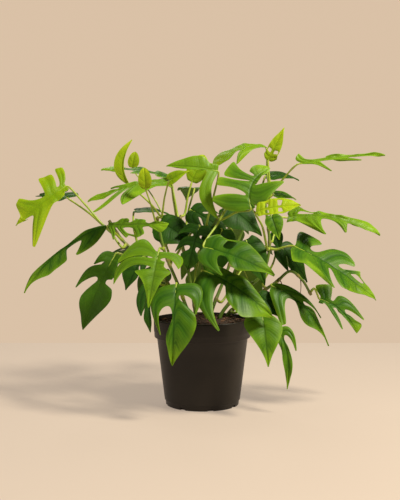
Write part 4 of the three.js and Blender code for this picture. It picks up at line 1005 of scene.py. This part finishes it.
def stalkRoute(leaf, course, route):
    # out of the stem, bowing up to the blade and on beneath its midrib
    share, base = leaf["share"], leaf["base"]
    root, axis = routePoint(route, share), routeDirection(route, share)
    away = base - root
    away = (away - axis * away.dot(axis)).normalized()
    start = root + away * (stemRadius(share) + stalkSize["axilGap"] - stalkSize["sunk"])
    elbow = start + away * (stalkSize["axil"] + stalkSize["sunk"])
    knee = elbow.lerp(base, 0.5) + axis * (base - elbow).length * stalkSize["bow"]
    points = [start, elbow, knee]
    for along, depth, width in stalkSize["keel"]:  # place on the blade, mm below it, share of band
        band = leaf["band"] * course["length"] * width
        right, left = (bladePoint(course, leaf, x, along * course["length"]) for x in (band, -band))
        up = bladeFrame(course, along)[2]
        depth += bladeSize["groove"] * stalkSize["grooveShare"]
        points.append(right.lerp(left, 0.5) - up * depth)
    return makeRoute(points)


def addStalk(piece, leaf, course, route):
    path = stalkRoute(leaf, course, route)
    bladeStart = 1 - stalkSize["keel"][-1][0] * course["length"] / path["length"]

    def fading(share, height, reach):
        return height * max(0, 1 - share / reach)

    def atKnee(share, height, reach):
        gap = (share - bladeStart + stalkSize["kneeBefore"]) * path["length"]
        return height * math.exp(-(gap / reach) ** 2)

    def radius(share):
        width = lerp(stalkSize["stem"], stalkSize["blade"], min(share / bladeStart, 1))
        width *= leaf["slim"]
        width += fading(share, *stalkSize["sheath"]) + atKnee(share, *stalkSize["knee"])
        taper, pace = stalkSize["keelTaper"]
        keel = max(0, (share - bladeStart) / (1 - bladeStart))
        return width * (1 - taper * min(1, keel * pace))

    def ringAt(share):
        return fading(share, *stalkSize["sheathRing"]) + atKnee(share, *stalkSize["kneeRing"])

    bm = bmesh.new()
    bm.from_mesh(piece.data)
    rollTube(bm, path, radius, stalkSize["sides"], stalkSize["steps"], 2, ringAt, leaf["tone"])
    bm.to_mesh(piece.data)
    bm.free()
    for polygon in piece.data.polygons:
        polygon.use_smooth = True


# leaves coloured shaded get the darker painted-shade finish, and each leaf's tone lightens or
# darkens it, partly as its own colour and partly as painted light and shade
leaves = {
    "far_left": leafOn("left", 0.96, (-229, 0, 369), (-310, -20, 303), (0, -0.9, 0.4), 8,
        colour="fresh"),
    "far_left_rear": leafOn("left", 0.9, (-234, 50, 349), (-289, 110, 351), (0, -0.3, 1), 10,
        plan="twoCut", colour="shaded"),
    "left_arch": leafOn("left", 0.8, (-160, -18, 302), (-294, -40, 193), (-0.2, -0.8, 0.5), 8,
        sway=14, fold=-8, band=0.02),
    "left_upright": leafOn("back", 0.86, (-125, -2, 374), (-117, -12, 446), (0.1, -0.95, 0.2), 8,
        sway=-13, colour="fresh", band=0.03, tone=0.5),
    "left_bud": leafOn("back", 0.8, (-124, 76, 403), (-118, 76, 431), (0, -0.8, 0.5), 2,
        plan="young", spread=(0.8, 0.9), colour="fresh", slim=0.7, tone=0.5),
    "left_ledge_rear": leafOn("back", 0.98, (-56, 44, 384), (-174, 34, 397), (0, -0.35, 0.94), 8,
        fold=0, droop=0.1, band=0.04),
    "left_ledge": leafOn("back", 0.92, (-55, -34, 376), (-184, -72, 343), (0, -0.6, 0.8), 12,
        sway=-2, fold=0, droop=0.2, band=0.02, tone=0.5),
    "left_young": leafOn("mid_left", 0.96, (-90, -90, 364), (-92, -96, 397), (0, -1, 0.1), 3,
        plan="young", spread=(0.75, 0.75), colour="fresh", slim=0.8, tone=0.5),
    "left_folded": leafOn("mid_left", 1, (-52, -100, 375), (-21, -100, 391), (0, -0.8, 0.6), 3,
        plan="entire", fold=30, colour="fresh", slim=0.8),
    "top_crescent": leafOn("centre", 0.8, (25, -44, 393), (-59, -44, 401), (0, -0.9, 0.4), 6,
        tone=0.55),
    "top_lime": leafOn("back", 1, (-18, 40, 377), (3, 50, 424), (0, -0.95, 0.3), 4, plan="young",
        colour="fresh", spread=(0.8, 0.8)),
    "top_broad": leafOn("centre", 0.9, (76, -100, 332), (109, -60, 397), (-0.1, -0.75, 0.62), 8,
        sway=-13, curl=0.12, droop=0.05, tone=0.22),
    "top_arch": leafOn("right", 0.97, (107, 18, 437), (20, -6, 397), (-0.2, -0.55, 0.8), 14, sway=3,
        curl=0.15, droop=0.05, fold=-6, colour="fresh", band=0.03, tone=-0.8),
    "top_spear": leafOn("right", 1, (110, -10, 412), (136, -10, 466), (0, -1, 0.2), 4,
        plan="windowed", spread=(0.65, 0.65), colour="fresh", tone=0.5),
    "lime_windowed": leafOn("right", 0.68, (83, -118, 327), (151, -128, 337), (-0.1, -0.75, 0.66),
        5, colour="fresh", band=0.03, tone=0.6),
    "right_strap": leafOn("rear_right", 0.96, (163, 20, 407), (313, 30, 423), (-0.1, -0.8, 0.6), 6,
        band=0.02, tone=0.7),
    "right_shaded": leafOn("rear_right", 1, (112, 70, 388), (171, 80, 380), (0, -0.4, 0.9), 6,
        plan="entire", colour="shaded"),
    "right_behind": leafOn("rear_right", 0.9, (125, 60, 356), (165, 70, 346), (0, -0.5, 0.85), 4,
        plan="entire"),
    "right_ledge": leafOn("right", 0.86, (144, -4, 317), (293, -30, 287), (0, -0.7, 0.7), 19,
        curl=0.3, droop=0.2, fold=4, band=0.025, tone=0.55),
    "right_drop": leafOn("right", 0.8, (110, -70, 321), (123, -76, 282), (0, -1, 0.1), 3,
        plan="entire", spread=(1.3, 1.0), tone=0.2),
    "right_inner": leafOn("right", 0.72, (124, 12, 292), (131, 2, 258), (0, -1, 0.2), 3,
        plan="entire", colour="shaded"),
    "right_broad": leafOn("right", 0.68, (151, -30, 269), (282, -60, 183), (0.35, -0.6, 0.7), 14,
        sway=7, curl=0.3, droop=0.2, band=0.05),
    "right_under": leafOn("low_right", 0.5, (132, 30, 268), (180, 30, 204), (0.3, -0.8, 0.5), 6,
        plan="armed", colour="shaded"),
    "right_low": leafOn("low_right", 0.98, (203, 30, 175), (264, 10, 119), (0.2, -0.9, 0.4), 6,
        sway=-8, curl=0.3, droop=0.1, tone=-0.2),
    "right_apron": leafOn("low_right", 0.6, (114, -40, 205), (205, -60, 108), (0.2, -0.9, 0.4), 8,
        sway=-13, band=0.04),
    "rim_glossy": leafOn("low_right", 0.2, (94, -100, 166), (102, -130, 87), (0, -0.93, 0.35), 8,
        tone=0.28),
    "rim_tail": leafOn("low_right", 0.4, (121, -76, 139), (136, -84, 42), (0, -0.98, 0.2), 8,
        sway=-8, band=0.04, tone=0.2),
    "rim_shaded": leafOn("low_right", 0.3, (92, -40, 189), (130, -50, 151), (0.2, -0.8, 0.5), 6,
        plan="entire", spread=(1.2, 1.2), colour="shaded"),
    "front_centre": leafOn("centre", 0.4, (1, -92, 234), (109, -122, 163), (0.2, -0.75, 0.6), 12,
        tone=-0.35),
    "front_left": leafOn("mid_left", 0.34, (-41, -134, 216), (-47, -154, 94), (0, -0.96, 0.2), 16,
        curl=0.8, band=0.04, tone=-0.35),
    "mid_left": leafOn("mid_left", 0.76, (-68, -130, 266), (-82, -166, 184), (0, -0.9, 0.35), 8,
        tone=0.42),
    "left_broad": leafOn("left", 0.62, (-143, -30, 257), (-195, -60, 135), (-0.2, -0.9, 0.3), 12,
        colour="shaded", tone=0.8),
    "left_under": leafOn("left", 0.44, (-98, -34, 253), (-126, -44, 198), (-0.1, -0.95, 0.2), 4,
        plan="armed", spread=(0.7, 1.6), colour="shaded"),
    "left_drop": leafOn("left", 0.4, (-89, -55, 216), (-84, -75, 133), (-0.1, -0.95, 0.2), 4,
        band=0.03, colour="shaded"),
    "left_shelf": leafOn("left", 0.84, (-153, -64, 305), (-53, -104, 309), (0, -0.85, 0.5), 5,
        sway=3, fold=0, band=0.04, tone=0.4),
    "left_shelf_rear": leafOn("left", 0.72, (-118, 60, 327), (-55, 60, 318), (0, -0.2, 1), 6,
        plan="entire", colour="shaded"),
    "centre_broad": leafOn("centre", 1, (2, -108, 272), (110, -140, 230), (0.1, -0.75, 0.65), 8,
        tone=-0.5),
    "centre_shaded": leafOn("mid_left", 0.66, (-4, -50, 305), (-24, -60, 232), (-0.2, -0.9, 0.3), 6,
        plan="twoCut", colour="shaded"),
    "inner_left": leafOn("mid_left", 0.62, (-71, -24, 309), (-11, -38, 268), (0, -0.8, 0.6), 6,
        plan="entire", spread=(1.3, 1.3), colour="shaded"),
    "inner_mid": leafOn("centre", 0.7, (-21, 4, 330), (46, -12, 285), (0, -0.8, 0.6), 6,
        plan="armed", colour="shaded"),
    "inner_right": leafOn("rear_right", 0.6, (40, 20, 336), (101, 10, 285), (0, -0.8, 0.6), 6,
        plan="entire", spread=(1.2, 1.2), colour="shaded"),
    "inner_low": leafOn("right", 0.3, (72, -20, 280), (104, -22, 204), (0.1, -0.9, 0.4), 6,
        plan="entire", colour="shaded"),
    "inner_front": leafOn("back", 0.6, (32, -48, 298), (8, -58, 205), (-0.1, -0.95, 0.3), 6,
        plan="entire", colour="shaded"),
    "back_top": leafOn("back", 0.84, (-14, 76, 366), (-30, 156, 346), (0, 0.2, 1), 8, plan="armed"),
    "back_left": leafOn("back", 0.7, (-50, 96, 300), (-74, 188, 250), (-0.1, 0.5, 0.85), 12,
        plan="armed"),
    "back_right": leafOn("rear_right", 0.66, (48, 124, 300), (66, 214, 246), (0.1, 0.5, 0.85), 12,
        plan="armed"),
    "back_far_left": leafOn("left", 0.56, (-112, 78, 262), (-182, 140, 206), (-0.4, 0.4, 0.8), 12,
        plan="twoCut", colour="shaded"),
    "back_far_right": leafOn("rear_right", 0.5, (116, 106, 262), (176, 176, 206), (0.4, 0.4, 0.8),
        12, plan="armed", colour="shaded"),
    "back_centre": leafOn("back", 0.4, (-6, 92, 240), (-14, 146, 152), (0, 0.9, 0.4), 12,
        plan="armed"),
    "back_low_right": leafOn("rear_right", 0.24, (74, 96, 222), (100, 128, 140), (0.3, 0.85, 0.4),
        8, plan="entire"),
    "back_low_left": leafOn("left", 0.3, (-76, 84, 222), (-110, 124, 140), (-0.3, 0.85, 0.4), 10,
        plan="entire", colour="shaded"),
}

routes = {stem: makeStem(stem, [leaf["share"] for leaf in leaves.values() if leaf["stem"] == stem])
          for stem in stemRoutes}
print("stems grown:", len(routes))

for name, leaf in leaves.items():
    course = bladeCourse(leaf)
    piece = makeBlade(name, leaf, course)
    addStalk(piece, leaf, course, routes[leaf["stem"]])
    finishPiece(piece, "leaf_" + name)
print("leaves grown:", len(leaves))

bpy.context.view_layer.update()
